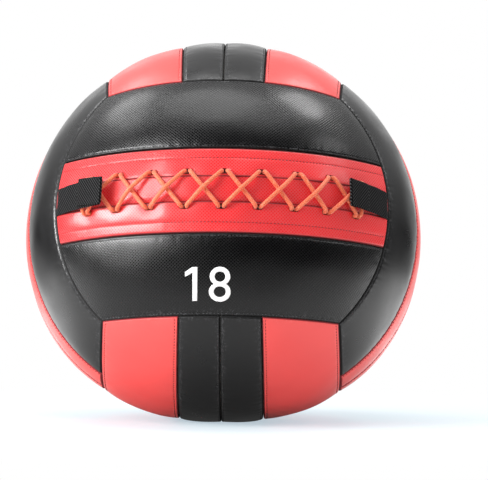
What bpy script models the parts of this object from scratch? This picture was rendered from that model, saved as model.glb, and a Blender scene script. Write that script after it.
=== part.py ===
"""Wall ball: a soft weighted exercise ball in a sewn vinyl skin that is laced up at the front.

The skin has six faces, each of strips sewn side by side, like a volleyball. The middle strips of the
front face are two flaps with a slit between them. An orange lace draws the flaps together over a
tongue, and a webbing tab at each end of the slit lifts on its side seam. Inside are a canvas liner,
two halves of fibre fill, and a tied bag of iron sand that gives the ball its weight.

Lengths are in metres, +Z is up, and the ball stands on its flat foot at the origin. The laced face
looks along -Y and leans back a little.
"""
import math

import bmesh
import bpy
from mathutils import Matrix, Vector

# Size and stance of the whole ball
BALL_HEIGHT = 0.3556
BALL_RADIUS = 0.1853
FOOT_RADIUS = 0.028
LEAN = math.radians(15.4)

# Sewn skin
SKIN_THICKNESS = 0.0015
SEAM_GAP = 0.0004
SEAM_DEPTH = 0.0020
SEAM_ROLL = 0.0060
PANEL_CELLS = 9
STRIP_CELLS = 3
FOOT_CELLS = 24
FOOT_STRIP_CELLS = 4

# Seams of a face, as angles from the middle of the face: at mid-length, and near the ends
EDGE_SEAM = math.radians(36.6)
SIDE_EDGE_SEAM = math.radians(35.1)
STRIP_SEAM = math.radians(12.3)
STRIP_SEAM_END = math.radians(11.6)
BAND_TOP_SEAM = math.radians(11.4)
BAND_TOP_SEAM_END = math.radians(13.2)
BAND_BOTTOM_SEAM = math.radians(13.0)
BAND_BOTTOM_SEAM_END = math.radians(11.0)
SEAM_END_SHARE = 0.76

# Laced band: heights of its lines over the middle of the band
UPPER_FLAP_EDGE = 0.0120
LOWER_FLAP_EDGE = -0.0110
UPPER_HOLE_ROW = 0.0171
LOWER_HOLE_ROW = -0.0153
BAND_CELLS = 14
FACING_WIDTH = 0.0160
FACING_THICKNESS = 0.0012
TONGUE_THICKNESS = 0.0015
TONGUE_LAP = 0.0015
LAYER_GAP = 0.0003

# Lace
LACE_PAIRS = 9
LACE_PITCH = 0.0333
UPPER_HOLE_SHIFT = 0.0028
LACE_RADIUS = 0.0022
LACE_BEND = 0.0030
LACE_GAP = 0.0004
LACE_BEHIND_GAP = 0.0008
LACE_LOW = 0.0026
LACE_SIDES_LEVEL = 1
SLOT_CLEARANCE = 0.0003
SLOT_STEPS = 4
SLOT_OVERRUN = 0.0020
KNOT_RADIUS = 0.0040
KNOT_NECK_RADIUS = 0.0026
KNOT_LENGTH = 0.0120
KNOT_SHOULDER_SHARE = 0.75
KNOT_STEPS = 10

# Webbing tabs
TAB_WIDTH = 0.0250
TAB_THICKNESS = 0.0015
LEFT_TAB_LENGTH = 0.0760
RIGHT_TAB_LENGTH = 0.0645
LEFT_TAB_TURNED_BACK = 0.0335
RIGHT_TAB_TURNED_BACK = 0.0260
TAB_BEND_RADIUS = 0.2450
TAB_RISE = math.radians(6.0)
TAB_FOLD_GAP = 0.0004
TAB_FOLD_STEPS = 4
TAB_RUN_CELLS = 6
TAB_CLEARANCE = 0.0004
LEFT_TAB_TURN = math.radians(-3.5)
RIGHT_TAB_TURN = math.radians(-1.0)

# Liner and fill, as depths under the skin
LINER_DEPTH = 0.0054
LINER_THICKNESS = 0.0010
MOUTH_HALF_HEIGHT = math.radians(10.0)
MOUTH_HALF_WIDTH = math.radians(45.0)
MOUTH_DEPTH = 0.0220
FILL_CLEARANCE = 0.0009
FILL_GAP = 0.0003
ROUND_CELLS = 10
WIDTH_CELLS = 12

# Weight bag and what it holds
CORE_CAVITY_RADIUS = 0.0780
BAG_CLEARANCE = 0.0018
BAG_THICKNESS = 0.0010
SAND_CLEARANCE = 0.0003
NECK_RADIUS = 0.0110
NECK_LENGTH = 0.0220
NECK_FLARE = 0.0030
TIE_RADIUS = 0.0014
NECK_ROOM = 0.0060
TURN_STEPS = 20
ARC_STEPS = 9

# Mesh care
SHARP_ANGLE = math.radians(35.0)
MERGE_DISTANCE = 0.00003
MOUTH_SLACK = math.radians(0.5)

# Shape constants worked out from the sizes above
UPPER_HALF = BALL_RADIUS
LOWER_HALF = BALL_HEIGHT - UPPER_HALF
FOOT_RISE = FOOT_RADIUS * FOOT_RADIUS / BALL_RADIUS
SAG_SHARE = (BALL_RADIUS - LOWER_HALF - FOOT_RISE / 2) / (BALL_RADIUS - FOOT_RISE * 3 / 2)
BALL_CENTRE = Vector((0, 0, LOWER_HALF))
LEAN_BACK = Matrix.Rotation(-LEAN, 3, "X")
CUBE_CORNER = 1 / math.sqrt(3)

# Axes of each face in the ball's own frame: along the strips, across them, and outwards
FACE_AXES = {
    "front": (Vector((1, 0, 0)), Vector((0, 0, 1)), Vector((0, -1, 0))),
    "rear": (Vector((1, 0, 0)), Vector((0, 0, 1)), Vector((0, 1, 0))),
    "top": (Vector((0, 1, 0)), Vector((1, 0, 0)), Vector((0, 0, 1))),
    "bottom": (Vector((0, 1, 0)), Vector((1, 0, 0)), Vector((0, 0, -1))),
    "left": (Vector((0, 0, 1)), Vector((0, 1, 0)), Vector((-1, 0, 0))),
    "right": (Vector((0, 0, 1)), Vector((0, 1, 0)), Vector((1, 0, 0))),
}
STRIP_NAMES = {
    "rear": ("lower_outer", "lower_inner", "upper_inner", "upper_outer"),
    "top": ("left_outer", "left_inner", "right_inner", "right_outer"),
    "bottom": ("left_outer", "left_inner", "right_inner", "right_outer"),
    "left": ("front_outer", "front_inner", "rear_inner", "rear_outer"),
    "right": ("front_outer", "front_inner", "rear_inner", "rear_outer"),
}
RED_OUTER_FACES = ("top", "bottom")


def clear_scene():
    """Remove every object that the file holds."""
    for item in list(bpy.data.objects):
        bpy.data.objects.remove(item, do_unlink=True)


def make_material(name, colour, roughness, metallic=0.0):
    """A plain Principled material."""
    material = bpy.data.materials.new(name)
    material.use_nodes = True
    shader = material.node_tree.nodes["Principled BSDF"]
    shader.inputs["Base Color"].default_value = (*colour, 1.0)
    shader.inputs["Roughness"].default_value = roughness
    shader.inputs["Metallic"].default_value = metallic
    material.diffuse_color = (*colour, 1.0)
    return material


def make_object(name, mesh, material, parent):
    """Turn a finished bmesh, drawn in its parent's frame, into a smooth-shaded object."""
    bmesh.ops.recalc_face_normals(mesh, faces=mesh.faces)
    if mesh.calc_volume(signed=True) < 0:
        bmesh.ops.reverse_faces(mesh, faces=mesh.faces)
    data = bpy.data.meshes.new(name)
    mesh.to_mesh(data)
    mesh.free()
    data.shade_smooth()
    data.set_sharp_from_angle(angle=SHARP_ANGLE)
    data.materials.append(material)
    item = bpy.data.objects.new(name, data)
    bpy.context.collection.objects.link(item)
    item.parent = parent
    return item


def make_empty(name, matrix):
    """An empty that carries a body's pieces."""
    empty = bpy.data.objects.new(name, None)
    empty.matrix_world = matrix
    bpy.context.collection.objects.link(empty)
    return empty


# Shape of the ball
def ball_point(direction, depth):
    """Point below the skin along a direction of the ball's frame, measured from its centre.

    The ball is round above its widest level, sags a little below it, and is flat at its foot.
    """
    out = LEAN_BACK @ direction.normalized()
    drop = max(-out.z, 0)
    level = max(out.z + SAG_SHARE * drop**3, -LOWER_HALF / BALL_RADIUS)
    return (BALL_RADIUS - depth) * Vector((out.x, out.y, level))


# Seams: each is a flat cut, given by how the offset across the face follows the height over it
def cut_through(mid_angle, end_across, end_out):
    """Cut through a seam's middle and one of its ends, as (offset, slope) on a unit ball."""
    out, across = math.cos(mid_angle), math.sin(mid_angle)
    slope = (across - end_across) / (out - end_out)
    return across - slope * out, slope


def edge_cut(mid_angle):
    """Cut along the edge of a face, from corner to corner."""
    return cut_through(mid_angle, CUBE_CORNER, CUBE_CORNER)


def strip_cut(mid_angle, end_angle):
    """Cut between two strips of one face."""
    across = math.sin(end_angle)
    out = math.sqrt(1 - SEAM_END_SHARE**2 - across**2)
    return cut_through(mid_angle, across, out)


def mirrored(cut):
    """The same cut on the other side of the face."""
    return -cut[0], -cut[1]


def moved(cut, distance):
    """A cut moved sideways by a length."""
    return cut[0] + distance / BALL_RADIUS, cut[1]


def blended(low, high, share):
    """A cut between two others."""
    return tuple(a + (b - a) * share for a, b in zip(low, high))


def end_angle(side, end, radius):
    """Angle along the face at which a side cut meets the end cut, at a radius on the unit ball."""
    offset, slope = side
    end_offset, end_slope = end
    bulk = 1 + slope * slope
    a = bulk * end_slope**2 + 1
    b = bulk * end_offset * end_slope + offset * slope * end_slope
    c = bulk * end_offset**2 + 2 * offset * slope * end_offset + offset**2 - radius**2
    along = (-b + math.sqrt(b * b - a * c)) / a
    return math.atan2(along, end_offset + end_slope * along)


def face_direction(face, side, angle, radius):
    """Direction, in the ball's frame, of the point of a cut at an angle along the face."""
    offset, slope = side
    lean = math.tan(angle)
    a = 1 + lean * lean + slope * slope
    b = offset * slope
    c = offset**2 - radius**2
    out = (-b + math.sqrt(b * b - a * c)) / a
    along_axis, across_axis, out_axis = FACE_AXES[face]
    return out * lean * along_axis + (offset + slope * out) * across_axis + out * out_axis


# Panels: a flat slab of unit size is wrapped on to the ball
def unit_slab(along_cells, across_cells):
    """A slab from -1/2 to 1/2 both ways, its top at 0 and its underside at -1."""
    mesh = bmesh.new()
    bmesh.ops.create_grid(mesh, x_segments=along_cells, y_segments=across_cells, size=1 / 2)
    grown = bmesh.ops.extrude_face_region(mesh, geom=mesh.faces[:], use_keep_orig=True)
    under = [part for part in grown["geom"] if isinstance(part, bmesh.types.BMVert)]
    bmesh.ops.translate(mesh, verts=under, vec=(0, 0, -1))
    return mesh


def stations(length, cells, low_roll, high_roll):
    """Shares of a length: even cells, with a narrow one for the roll at a sewn end."""
    low = low_roll / length
    high = 1 - high_roll / length
    inner = [low + (high - low) * step / cells for step in range(cells + 1)]
    return ([0] if low_roll else []) + inner + ([1] if high_roll else [])


def wrap_panel(face, low, high, end, along, across, depth, thickness, sewn):
    """Wrap a slab between two side cuts and two end cuts.

    Args:
        along, across: shares of the panel's length and width where its rows lie.
        depth, thickness: how deep the top lies below the skin's level, and the wall.
        sewn: whether the ends, the low side and the high side dip into a seam.
    """
    mesh = unit_slab(len(along) - 1, len(across) - 1)
    sewn_ends, sewn_low, sewn_high = sewn
    for vertex in mesh.verts:
        column = round((vertex.co.x + 1 / 2) * (len(along) - 1))
        row = round((vertex.co.y + 1 / 2) * (len(across) - 1))
        dips = (
            (sewn_ends and column in (0, len(along) - 1))
            or (sewn_low and row == 0)
            or (sewn_high and row == len(across) - 1)
        )
        down = depth + (SEAM_DEPTH if dips else 0) - vertex.co.z * thickness
        radius = 1 - down / BALL_RADIUS
        side = blended(low, high, across[row])
        reach = end_angle(side, end, radius)
        turn = (2 * along[column] - 1) * reach
        vertex.co = ball_point(face_direction(face, side, turn, radius), down)
    return mesh


def sewn_panel(face, low, high, end, width_angle, cells=(PANEL_CELLS, STRIP_CELLS)):
    """A panel sewn on all four sides."""
    length = 2 * BALL_RADIUS * (math.pi / 2 - SIDE_EDGE_SEAM)
    along = stations(length, cells[0], SEAM_ROLL, SEAM_ROLL)
    across = stations(BALL_RADIUS * width_angle, cells[1], SEAM_ROLL, SEAM_ROLL)
    low, high = moved(low, SEAM_GAP / 2), moved(high, -SEAM_GAP / 2)
    return wrap_panel(face, low, high, end, along, across, 0, SKIN_THICKNESS, (True, True, True))


def end_cut(face):
    """Cut at the ends of a face, which is the side cut of the faces it meets there."""
    beside = SIDE_EDGE_SEAM if face in ("front", "rear") else EDGE_SEAM
    offset, slope = edge_cut(beside)
    return offset + SEAM_GAP / 2 / BALL_RADIUS, slope


def strip_layout(face):
    """The four strips of a face that has a seam along its middle, as (low, high, width)."""
    edge_angle = SIDE_EDGE_SEAM if face in ("left", "right") else EDGE_SEAM
    edge = edge_cut(edge_angle)
    seam = strip_cut(STRIP_SEAM, STRIP_SEAM_END)
    middle = (0, 0)
    outer, inner = edge_angle - STRIP_SEAM, STRIP_SEAM
    return (
        (mirrored(edge), mirrored(seam), outer),
        (mirrored(seam), middle, inner),
        (middle, seam, inner),
        (seam, edge, outer),
    )


def make_plain_faces(finishes, centre):
    """The five faces that have no lacing."""
    for face, names in STRIP_NAMES.items():
        for name, (low, high, width) in zip(names, strip_layout(face)):
            inner = name.endswith("inner")
            red = inner != (face in RED_OUTER_FACES)
            if face == "bottom" and inner:
                cells = (FOOT_CELLS, FOOT_STRIP_CELLS)
            else:
                cells = (PANEL_CELLS, STRIP_CELLS)
            mesh = sewn_panel(face, low, high, end_cut(face), width, cells)
            finish = finishes["red_vinyl" if red else "black_vinyl"]
            make_object(f"{face}_{name}_panel", mesh, finish, centre)


# Front face: two black strips, and the laced band between them
BAND_TOP = strip_cut(BAND_TOP_SEAM, BAND_TOP_SEAM_END)
BAND_BOTTOM = mirrored(strip_cut(BAND_BOTTOM_SEAM, BAND_BOTTOM_SEAM_END))
BAND_MIDDLE = blended(BAND_BOTTOM, BAND_TOP, 1 / 2)


def make_front_strips(finishes, centre):
    """The black strips above and below the laced band."""
    edge = edge_cut(EDGE_SEAM)
    end = end_cut("front")
    upper = sewn_panel("front", BAND_TOP, edge, end, EDGE_SEAM - BAND_TOP_SEAM)
    lower = sewn_panel("front", mirrored(edge), BAND_BOTTOM, end, EDGE_SEAM - BAND_BOTTOM_SEAM)
    make_object("front_upper_panel", upper, finishes["black_vinyl"], centre)
    make_object("front_lower_panel", lower, finishes["black_vinyl"], centre)


def band_rows():
    """Shares of the band's length where all its layers have their rows, so that they nest."""
    length = 2 * BALL_RADIUS * (math.pi / 2 - SIDE_EDGE_SEAM)
    return stations(length, BAND_CELLS, SEAM_ROLL, SEAM_ROLL)


def band_layer(low, high, along, across, depth, thickness, sewn=(False, False, False)):
    """One layer of the laced band between two cuts."""
    return wrap_panel("front", low, high, end_cut("front"), along, across, depth, thickness, sewn)


def band_point(arc, rise, height):
    """Point over the band: arc along it, rise over its middle, and height over the skin."""
    side = moved(BAND_MIDDLE, rise)
    direction = face_direction("front", side, arc / BALL_RADIUS, 1 + height / BALL_RADIUS)
    return ball_point(direction, -height)


def hole_arc(pair, row):
    """Place along the band of one hole of a pair; the upper row sits a little to the right."""
    shift = UPPER_HOLE_SHIFT if row == UPPER_HOLE_ROW else 0
    return (pair - (LACE_PAIRS - 1) / 2) * LACE_PITCH + shift


def slot_outline():
    """Outline of a hole that takes two cords side by side, about its middle."""
    half_height = LACE_RADIUS + SLOT_CLEARANCE
    half_length = cord_offset() + half_height
    points = []
    for side in (1, -1):
        for step in range(SLOT_STEPS + 1):
            angle = math.pi * (step / SLOT_STEPS - 1 / 2)
            arc = half_length - half_height + half_height * math.cos(angle)
            points.append((side * arc, side * half_height * math.sin(angle)))
    return points


def cord_offset():
    """Distance of each of the two cords from the middle of their hole."""
    return LACE_RADIUS + LACE_GAP / 2


def slot_cutter(name, row, centre):
    """A hidden cutter for one row of lace holes, through the flap and its facing."""
    mesh = bmesh.new()
    depth = SKIN_THICKNESS + LAYER_GAP + FACING_THICKNESS + SLOT_OVERRUN
    for pair in range(LACE_PAIRS):
        middle = hole_arc(pair, row)
        corners = [mesh.verts.new((middle + arc, row + rise, 0)) for arc, rise in slot_outline()]
        lid = mesh.faces.new(corners)
        grown = bmesh.ops.extrude_face_region(mesh, geom=[lid], use_keep_orig=True)
        under = [part for part in grown["geom"] if isinstance(part, bmesh.types.BMVert)]
        bmesh.ops.translate(mesh, verts=under, vec=(0, 0, -depth - SLOT_OVERRUN))
    for vertex in mesh.verts:
        vertex.co = band_point(vertex.co.x, vertex.co.y, vertex.co.z + SLOT_OVERRUN)
    cutter = make_object(name, mesh, None, centre)
    cutter.hide_render = True
    cutter.display_type = "WIRE"
    return cutter


def punch(item, cutter):
    """Cut a row of lace holes out of a layer."""
    cut = item.modifiers.new("lace_holes", "BOOLEAN")
    cut.operation = "DIFFERENCE"
    cut.solver = "EXACT"
    cut.object = cutter


def make_band(finishes, centre):
    """The two flaps, their facings and the tongue under the slit."""
    rows = band_rows()
    facing_rows = rows[2:-2]
    upper_edge, lower_edge = moved(BAND_MIDDLE, UPPER_FLAP_EDGE), moved(BAND_MIDDLE, LOWER_FLAP_EDGE)
    top_seam, bottom_seam = moved(BAND_TOP, -SEAM_GAP / 2), moved(BAND_BOTTOM, SEAM_GAP / 2)
    half_band = BALL_RADIUS * (BAND_TOP_SEAM + BAND_BOTTOM_SEAM) / 2
    up = stations(half_band - UPPER_FLAP_EDGE, STRIP_CELLS, 0, SEAM_ROLL)
    down = stations(half_band + LOWER_FLAP_EDGE, STRIP_CELLS, SEAM_ROLL, 0)
    evenly = (0, 1 / 2, 1)
    facing_depth = SKIN_THICKNESS + LAYER_GAP
    tongue_depth = facing_depth + FACING_THICKNESS + LAYER_GAP

    upper_holes = slot_cutter("upper_hole_cutter", UPPER_HOLE_ROW, centre)
    lower_holes = slot_cutter("lower_hole_cutter", LOWER_HOLE_ROW, centre)
    upper_flap = band_layer(upper_edge, top_seam, rows, up, 0, SKIN_THICKNESS, (True, False, True))
    lower_flap = band_layer(bottom_seam, lower_edge, rows, down, 0, SKIN_THICKNESS, (True, True, False))
    upper_facing = band_layer(
        upper_edge, moved(upper_edge, FACING_WIDTH), facing_rows, evenly, facing_depth, FACING_THICKNESS
    )
    lower_facing = band_layer(
        moved(lower_edge, -FACING_WIDTH), lower_edge, facing_rows, evenly, facing_depth, FACING_THICKNESS
    )
    tongue = band_layer(
        moved(lower_edge, -TONGUE_LAP),
        moved(upper_edge, TONGUE_LAP),
        rows[1:-1],
        evenly,
        tongue_depth,
        TONGUE_THICKNESS,
    )
    punch(make_object("lace_flap_upper", upper_flap, finishes["red_vinyl"], centre), upper_holes)
    punch(make_object("lace_flap_lower", lower_flap, finishes["red_vinyl"], centre), lower_holes)
    punch(make_object("lace_facing_upper", upper_facing, finishes["webbing"], centre), upper_holes)
    punch(make_object("lace_facing_lower", lower_facing, finishes["webbing"], centre), lower_holes)
    make_object("lace_tongue", tongue, finishes["red_vinyl"], centre)
    return tongue_depth + TONGUE_THICKNESS


# Lace: each run goes straight out of one hole, over to the next, and straight in again
def lace_run(start, finish, end_height, middle_height, middle_shares, whole=(True, True)):
    """Points of one run between two holes, as (arc, rise, height).

    Args:
        start, finish: (arc, rise) of the two cord places.
        end_height: height of the cord's middle line at its bends; below zero behind the band.
        middle_height: its height half way.
        middle_shares: shares of the way where it has points besides its bends.
        whole: whether the run has its first and its last bend.
    """
    span = Vector(finish) - Vector(start)
    ahead = span.normalized()
    sign = math.copysign(1, end_height)
    drawn_in = LACE_BEND * math.sqrt(1 / 2)
    bend = (
        (0, end_height - sign * LACE_BEND),
        (LACE_BEND - drawn_in, end_height - sign * (LACE_BEND - drawn_in)),
        (LACE_BEND, end_height),
    )
    points = []
    if whole[0]:
        points += [(Vector(start) + ahead * step, height) for step, height in bend]
    for share in middle_shares:
        swell = math.sin(math.pi * share) ** 2
        points.append((Vector(start) + span * share, end_height + (middle_height - end_height) * swell))
    if whole[1]:
        points += [(Vector(finish) - ahead * step, height) for step, height in reversed(bend)]
    return [(place.x, place.y, height) for place, height in points]


def cord_place(pair, row, side):
    """(arc, rise) of one of the two cords in a hole; side is -1 for the left and 1 for the right."""
    return hole_arc(pair, row) + side * cord_offset(), row


def lace_route(inner_depth):
    """Points of the whole lace, from the knot round all the holes and back to the knot."""
    bend_height = LACE_BEND
    over = LACE_LOW + 2 * LACE_RADIUS + LACE_GAP
    shallow = -(inner_depth + LACE_BEHIND_GAP + LACE_RADIUS)
    deep = shallow - 2 * LACE_RADIUS - LACE_GAP
    last = LACE_PAIRS - 1
    left, right = -1, 1
    knot_place, knot_height = knot_centre(deep)
    knot_half = (KNOT_LENGTH / 2 + LAYER_GAP) / knot_span().length

    upper_end = cord_place(last, UPPER_HOLE_ROW, right)
    lower_end = cord_place(last, LOWER_HOLE_ROW, left)
    from_knot = (1 / 2 + knot_half,)
    to_knot = (1 / 2 - knot_half,)
    points = lace_run(upper_end, lower_end, knot_height, knot_height, from_knot, (False, True))
    for pair in range(last, 0, -1):
        low_hole = cord_place(pair, LOWER_HOLE_ROW, left)
        high_hole = cord_place(pair - 1, UPPER_HOLE_ROW, right)
        next_low = cord_place(pair - 1, LOWER_HOLE_ROW, left)
        points += lace_run(low_hole, high_hole, bend_height, LACE_LOW, (1 / 2,))
        points += lace_run(high_hole, next_low, deep, deep, ())
    points += lace_run(
        cord_place(0, LOWER_HOLE_ROW, left), cord_place(0, UPPER_HOLE_ROW, left), bend_height, bend_height, ()
    )
    for pair in range(last + 1):
        high_hole = cord_place(pair, UPPER_HOLE_ROW, left)
        low_hole = cord_place(pair, LOWER_HOLE_ROW, right)
        points += lace_run(high_hole, low_hole, shallow, shallow, ())
        if pair < last:
            next_high = cord_place(pair + 1, UPPER_HOLE_ROW, left)
            points += lace_run(low_hole, next_high, bend_height, over, (1 / 4, 1 / 2, 3 / 4))
    points += lace_run(cord_place(last, LOWER_HOLE_ROW, right), upper_end, bend_height, bend_height, ())
    points += lace_run(upper_end, lower_end, knot_height, knot_height, to_knot, (True, False))
    return [band_point(*point) for point in points]


def knot_span():
    """The way, in (arc, rise), between the two cord places that the knot lies between."""
    last = LACE_PAIRS - 1
    upper = Vector(cord_place(last, UPPER_HOLE_ROW, 1))
    return Vector(cord_place(last, LOWER_HOLE_ROW, -1)) - upper


def knot_centre(deep):
    """(arc, rise) and height of the knot, under the cord that crosses it."""
    upper = Vector(cord_place(LACE_PAIRS - 1, UPPER_HOLE_ROW, 1))
    return upper + knot_span() / 2, deep - (KNOT_RADIUS - LACE_RADIUS) - LACE_GAP


def make_lace(finishes, centre, inner_depth):
    """The lace, one tube whose two ends meet in a knot behind the band."""
    route = lace_route(inner_depth)
    data = bpy.data.curves.new("lace", "CURVE")
    data.dimensions = "3D"
    data.resolution_u = 1
    data.bevel_depth = LACE_RADIUS
    data.bevel_resolution = LACE_SIDES_LEVEL
    data.use_fill_caps = True
    spline = data.splines.new("POLY")
    spline.points.add(len(route) - 1)
    for point, place in zip(spline.points, route):
        point.co = (*place, 1)
    data.materials.append(finishes["lace"])
    lace = bpy.data.objects.new("lace", data)
    bpy.context.collection.objects.link(lace)
    lace.parent = centre

    start, finish = route[0], route[-1]
    middle = (start + finish) / 2
    turn = (start - finish).to_track_quat("Z", "Y").to_matrix().to_4x4()
    half = KNOT_LENGTH / 2
    bulge = (KNOT_RADIUS + KNOT_NECK_RADIUS) / 2
    profile = (
        (0, -half),
        (KNOT_NECK_RADIUS, -half),
        (bulge, -half * KNOT_SHOULDER_SHARE),
        (KNOT_RADIUS, 0),
        (bulge, half * KNOT_SHOULDER_SHARE),
        (KNOT_NECK_RADIUS, half),
        (0, half),
    )
    knot = turned(profile, KNOT_STEPS, Matrix.Translation(middle) @ turn)
    make_object("lace_knot", knot, finishes["lace"], centre)


# Round pieces: a profile of (radius, height) turned about Z
def turned(profile, steps, place, closed=False):
    """Turn a profile into a solid; its ends lie on the axis unless it is closed."""
    mesh = bmesh.new()
    line = [mesh.verts.new((radius, 0, height)) for radius, height in profile]
    pairs = list(zip(line, line[1:])) + ([(line[-1], line[0])] if closed else [])
    edges = [mesh.edges.new(pair) for pair in pairs]
    bmesh.ops.spin(
        mesh, geom=line + edges, cent=(0, 0, 0), axis=(0, 0, 1), angle=2 * math.pi, steps=steps,
        use_merge=True,
    )
    bmesh.ops.remove_doubles(mesh, verts=mesh.verts, dist=MERGE_DISTANCE)
    bmesh.ops.transform(mesh, matrix=place, verts=mesh.verts)
    return mesh


def arc_profile(radius, start, finish):
    """Points of (radius, height) on a ball, from one angle over the level to another."""
    angles = [start + (finish - start) * step / ARC_STEPS for step in range(ARC_STEPS + 1)]
    return [(max(radius * math.cos(angle), 0), radius * math.sin(angle)) for angle in angles]


def make_weight(finishes, centre):
    """The weight bag with its neck towards the mouth, the iron sand in it, and its tie."""
    towards_mouth = (LEAN_BACK @ Matrix.Rotation(math.pi / 2, 3, "X")).to_4x4()
    bag = CORE_CAVITY_RADIUS - BAG_CLEARANCE
    inside = bag - BAG_THICKNESS
    inner_neck = NECK_RADIUS - BAG_THICKNESS
    bottom = -math.pi / 2
    outer_top = math.acos(NECK_RADIUS / bag)
    inner_top = math.acos(inner_neck / inside)
    rim = bag + NECK_LENGTH
    tie_level = bag + NECK_LENGTH / 2
    profile = arc_profile(bag, bottom, outer_top)
    profile += [(NECK_RADIUS, tie_level), (NECK_RADIUS + NECK_FLARE, rim)]
    profile += [(inner_neck + NECK_FLARE, rim), (inner_neck, tie_level)]
    profile += reversed(arc_profile(inside, bottom, inner_top))
    make_object("weight_bag", turned(profile, TURN_STEPS, towards_mouth), finishes["bag_cloth"], centre)

    sand = inside - SAND_CLEARANCE
    filled = arc_profile(sand, bottom, inner_top)
    filled.append((0, filled[-1][1]))
    make_object("iron_sand", turned(filled, TURN_STEPS, towards_mouth), finishes["iron_sand"], centre)

    ring = NECK_RADIUS + LAYER_GAP + TIE_RADIUS
    tie = [
        (ring + TIE_RADIUS * math.cos(angle), tie_level + TIE_RADIUS * math.sin(angle))
        for angle in (math.tau * step / (2 * SLOT_STEPS) for step in range(2 * SLOT_STEPS))
    ]
    make_object("bag_tie", turned(tie, TURN_STEPS, towards_mouth, True), finishes["tie_cord"], centre)


# Liner and fill: shells on a grid of angles round the ball's width
def round_angles():
    """Angles up from the mouth's middle, over the top, to the middle of the rear."""
    step = (math.pi - MOUTH_HALF_HEIGHT) / ROUND_CELLS
    return [0] + [MOUTH_HALF_HEIGHT + step * count for count in range(ROUND_CELLS + 1)]


def shell_mesh(turns):
    """Unit ball, or a part of it, as a skin of cells; turns are angles up from the front."""
    mesh = bmesh.new()
    bmesh.ops.create_grid(mesh, x_segments=WIDTH_CELLS, y_segments=len(turns) - 1, size=1 / 2)
    for vertex in mesh.verts:
        side = math.pi * vertex.co.x
        turn = turns[round((vertex.co.y + 1 / 2) * (len(turns) - 1))]
        level = math.cos(side)
        vertex.co = (math.sin(side), -level * math.cos(turn), level * math.sin(turn))
    bmesh.ops.remove_doubles(mesh, verts=mesh.verts, dist=MERGE_DISTANCE)
    return mesh


def at_mouth(direction, slack=MOUTH_SLACK):
    """Whether a direction of the ball's frame lies within the mouth behind the lacing."""
    turn = math.atan2(direction.z, -direction.y)
    side = math.asin(max(-1, min(1, direction.x)))
    return abs(turn) < MOUTH_HALF_HEIGHT + slack and abs(side) < MOUTH_HALF_WIDTH + slack


def thicken(mesh):
    """Give a shell a second skin on the same places, and return the inner one's vertices."""
    grown = bmesh.ops.extrude_face_region(mesh, geom=mesh.faces[:], use_keep_orig=True)
    return [part for part in grown["geom"] if isinstance(part, bmesh.types.BMVert)]


def make_liner(finishes, centre):
    """The canvas bag under the skin, open behind the lacing."""
    upper = round_angles()
    mesh = shell_mesh([-angle for angle in reversed(upper)] + upper[1:])
    opening = [face for face in mesh.faces if at_mouth(face.calc_center_median(), 0)]
    bmesh.ops.delete(mesh, geom=opening, context="FACES")
    inner = set(thicken(mesh))
    for vertex in mesh.verts:
        depth = LINER_DEPTH + (LINER_THICKNESS if vertex in inner else 0)
        vertex.co = ball_point(vertex.co, depth)
    make_object("liner_bag", mesh, finishes["canvas"], centre)


def make_fill(finishes, centre):
    """Two halves of fibre fill, hollowed for the weight bag, its neck and the lacing."""
    depth = LINER_DEPTH + LINER_THICKNESS + FILL_CLEARANCE
    neck = math.asin((NECK_RADIUS + NECK_FLARE + NECK_ROOM) / CORE_CAVITY_RADIUS)
    pit = CORE_CAVITY_RADIUS + NECK_LENGTH + NECK_ROOM
    front = Vector((0, -1, 0))
    for name, sign in (("fill_upper", 1), ("fill_lower", -1)):
        mesh = shell_mesh([sign * angle for angle in round_angles()])
        inner = set(thicken(mesh))
        apart = LEAN_BACK @ Vector((0, 0, sign * FILL_GAP / 2))
        for vertex in mesh.verts:
            direction = vertex.co.copy()
            if vertex in inner:
                radius = pit if direction.angle(front) < neck + MOUTH_HALF_HEIGHT / 2 else CORE_CAVITY_RADIUS
                vertex.co = LEAN_BACK @ (direction * radius) + apart
            else:
                vertex.co = ball_point(direction, MOUTH_DEPTH if at_mouth(direction) else depth) + apart
        make_object(name, mesh, finishes["fibre"], centre)


# Webbing tabs: strips of webbing turned back on themselves, hinged where they are sewn in
def hinge_depth():
    """Depth of a tab's hinge, which is the middle of the webbing at its sewn root."""
    return SEAM_DEPTH - TAB_THICKNESS / 2 - TAB_CLEARANCE


def tab_line(length, turned_back):
    """Middle line of the webbing, as (distance from the seam, height over the hinge)."""
    half_wall = TAB_THICKNESS / 2
    fold_radius = (TAB_THICKNESS + TAB_FOLD_GAP) / 2
    start = Vector((SEAM_ROLL + TAB_THICKNESS, hinge_depth() + TAB_CLEARANCE + half_wall))
    run = length - start.x - fold_radius - half_wall
    back = turned_back - fold_radius - half_wall

    def square(distance):
        heading = TAB_RISE - distance / TAB_BEND_RADIUS
        return Vector((-math.sin(heading), math.cos(heading)))

    def place(distance, lift):
        return start + square(distance) * (TAB_BEND_RADIUS + lift) - square(0) * TAB_BEND_RADIUS

    points = [Vector((0, 0))]
    points += [place(run * step / TAB_RUN_CELLS, 0) for step in range(TAB_RUN_CELLS)]
    outwards = square(run)
    onwards = Vector((outwards.y, -outwards.x))
    for step in range(TAB_FOLD_STEPS + 1):
        angle = math.pi * (step / TAB_FOLD_STEPS - 1 / 2)
        swing = onwards * math.cos(angle) + outwards * math.sin(angle)
        points.append(place(run, fold_radius) + swing * fold_radius)
    cells = max(1, round(TAB_RUN_CELLS * back / run))
    points += [place(run - back * (step + 1) / cells, 2 * fold_radius) for step in range(cells)]
    return points


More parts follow.
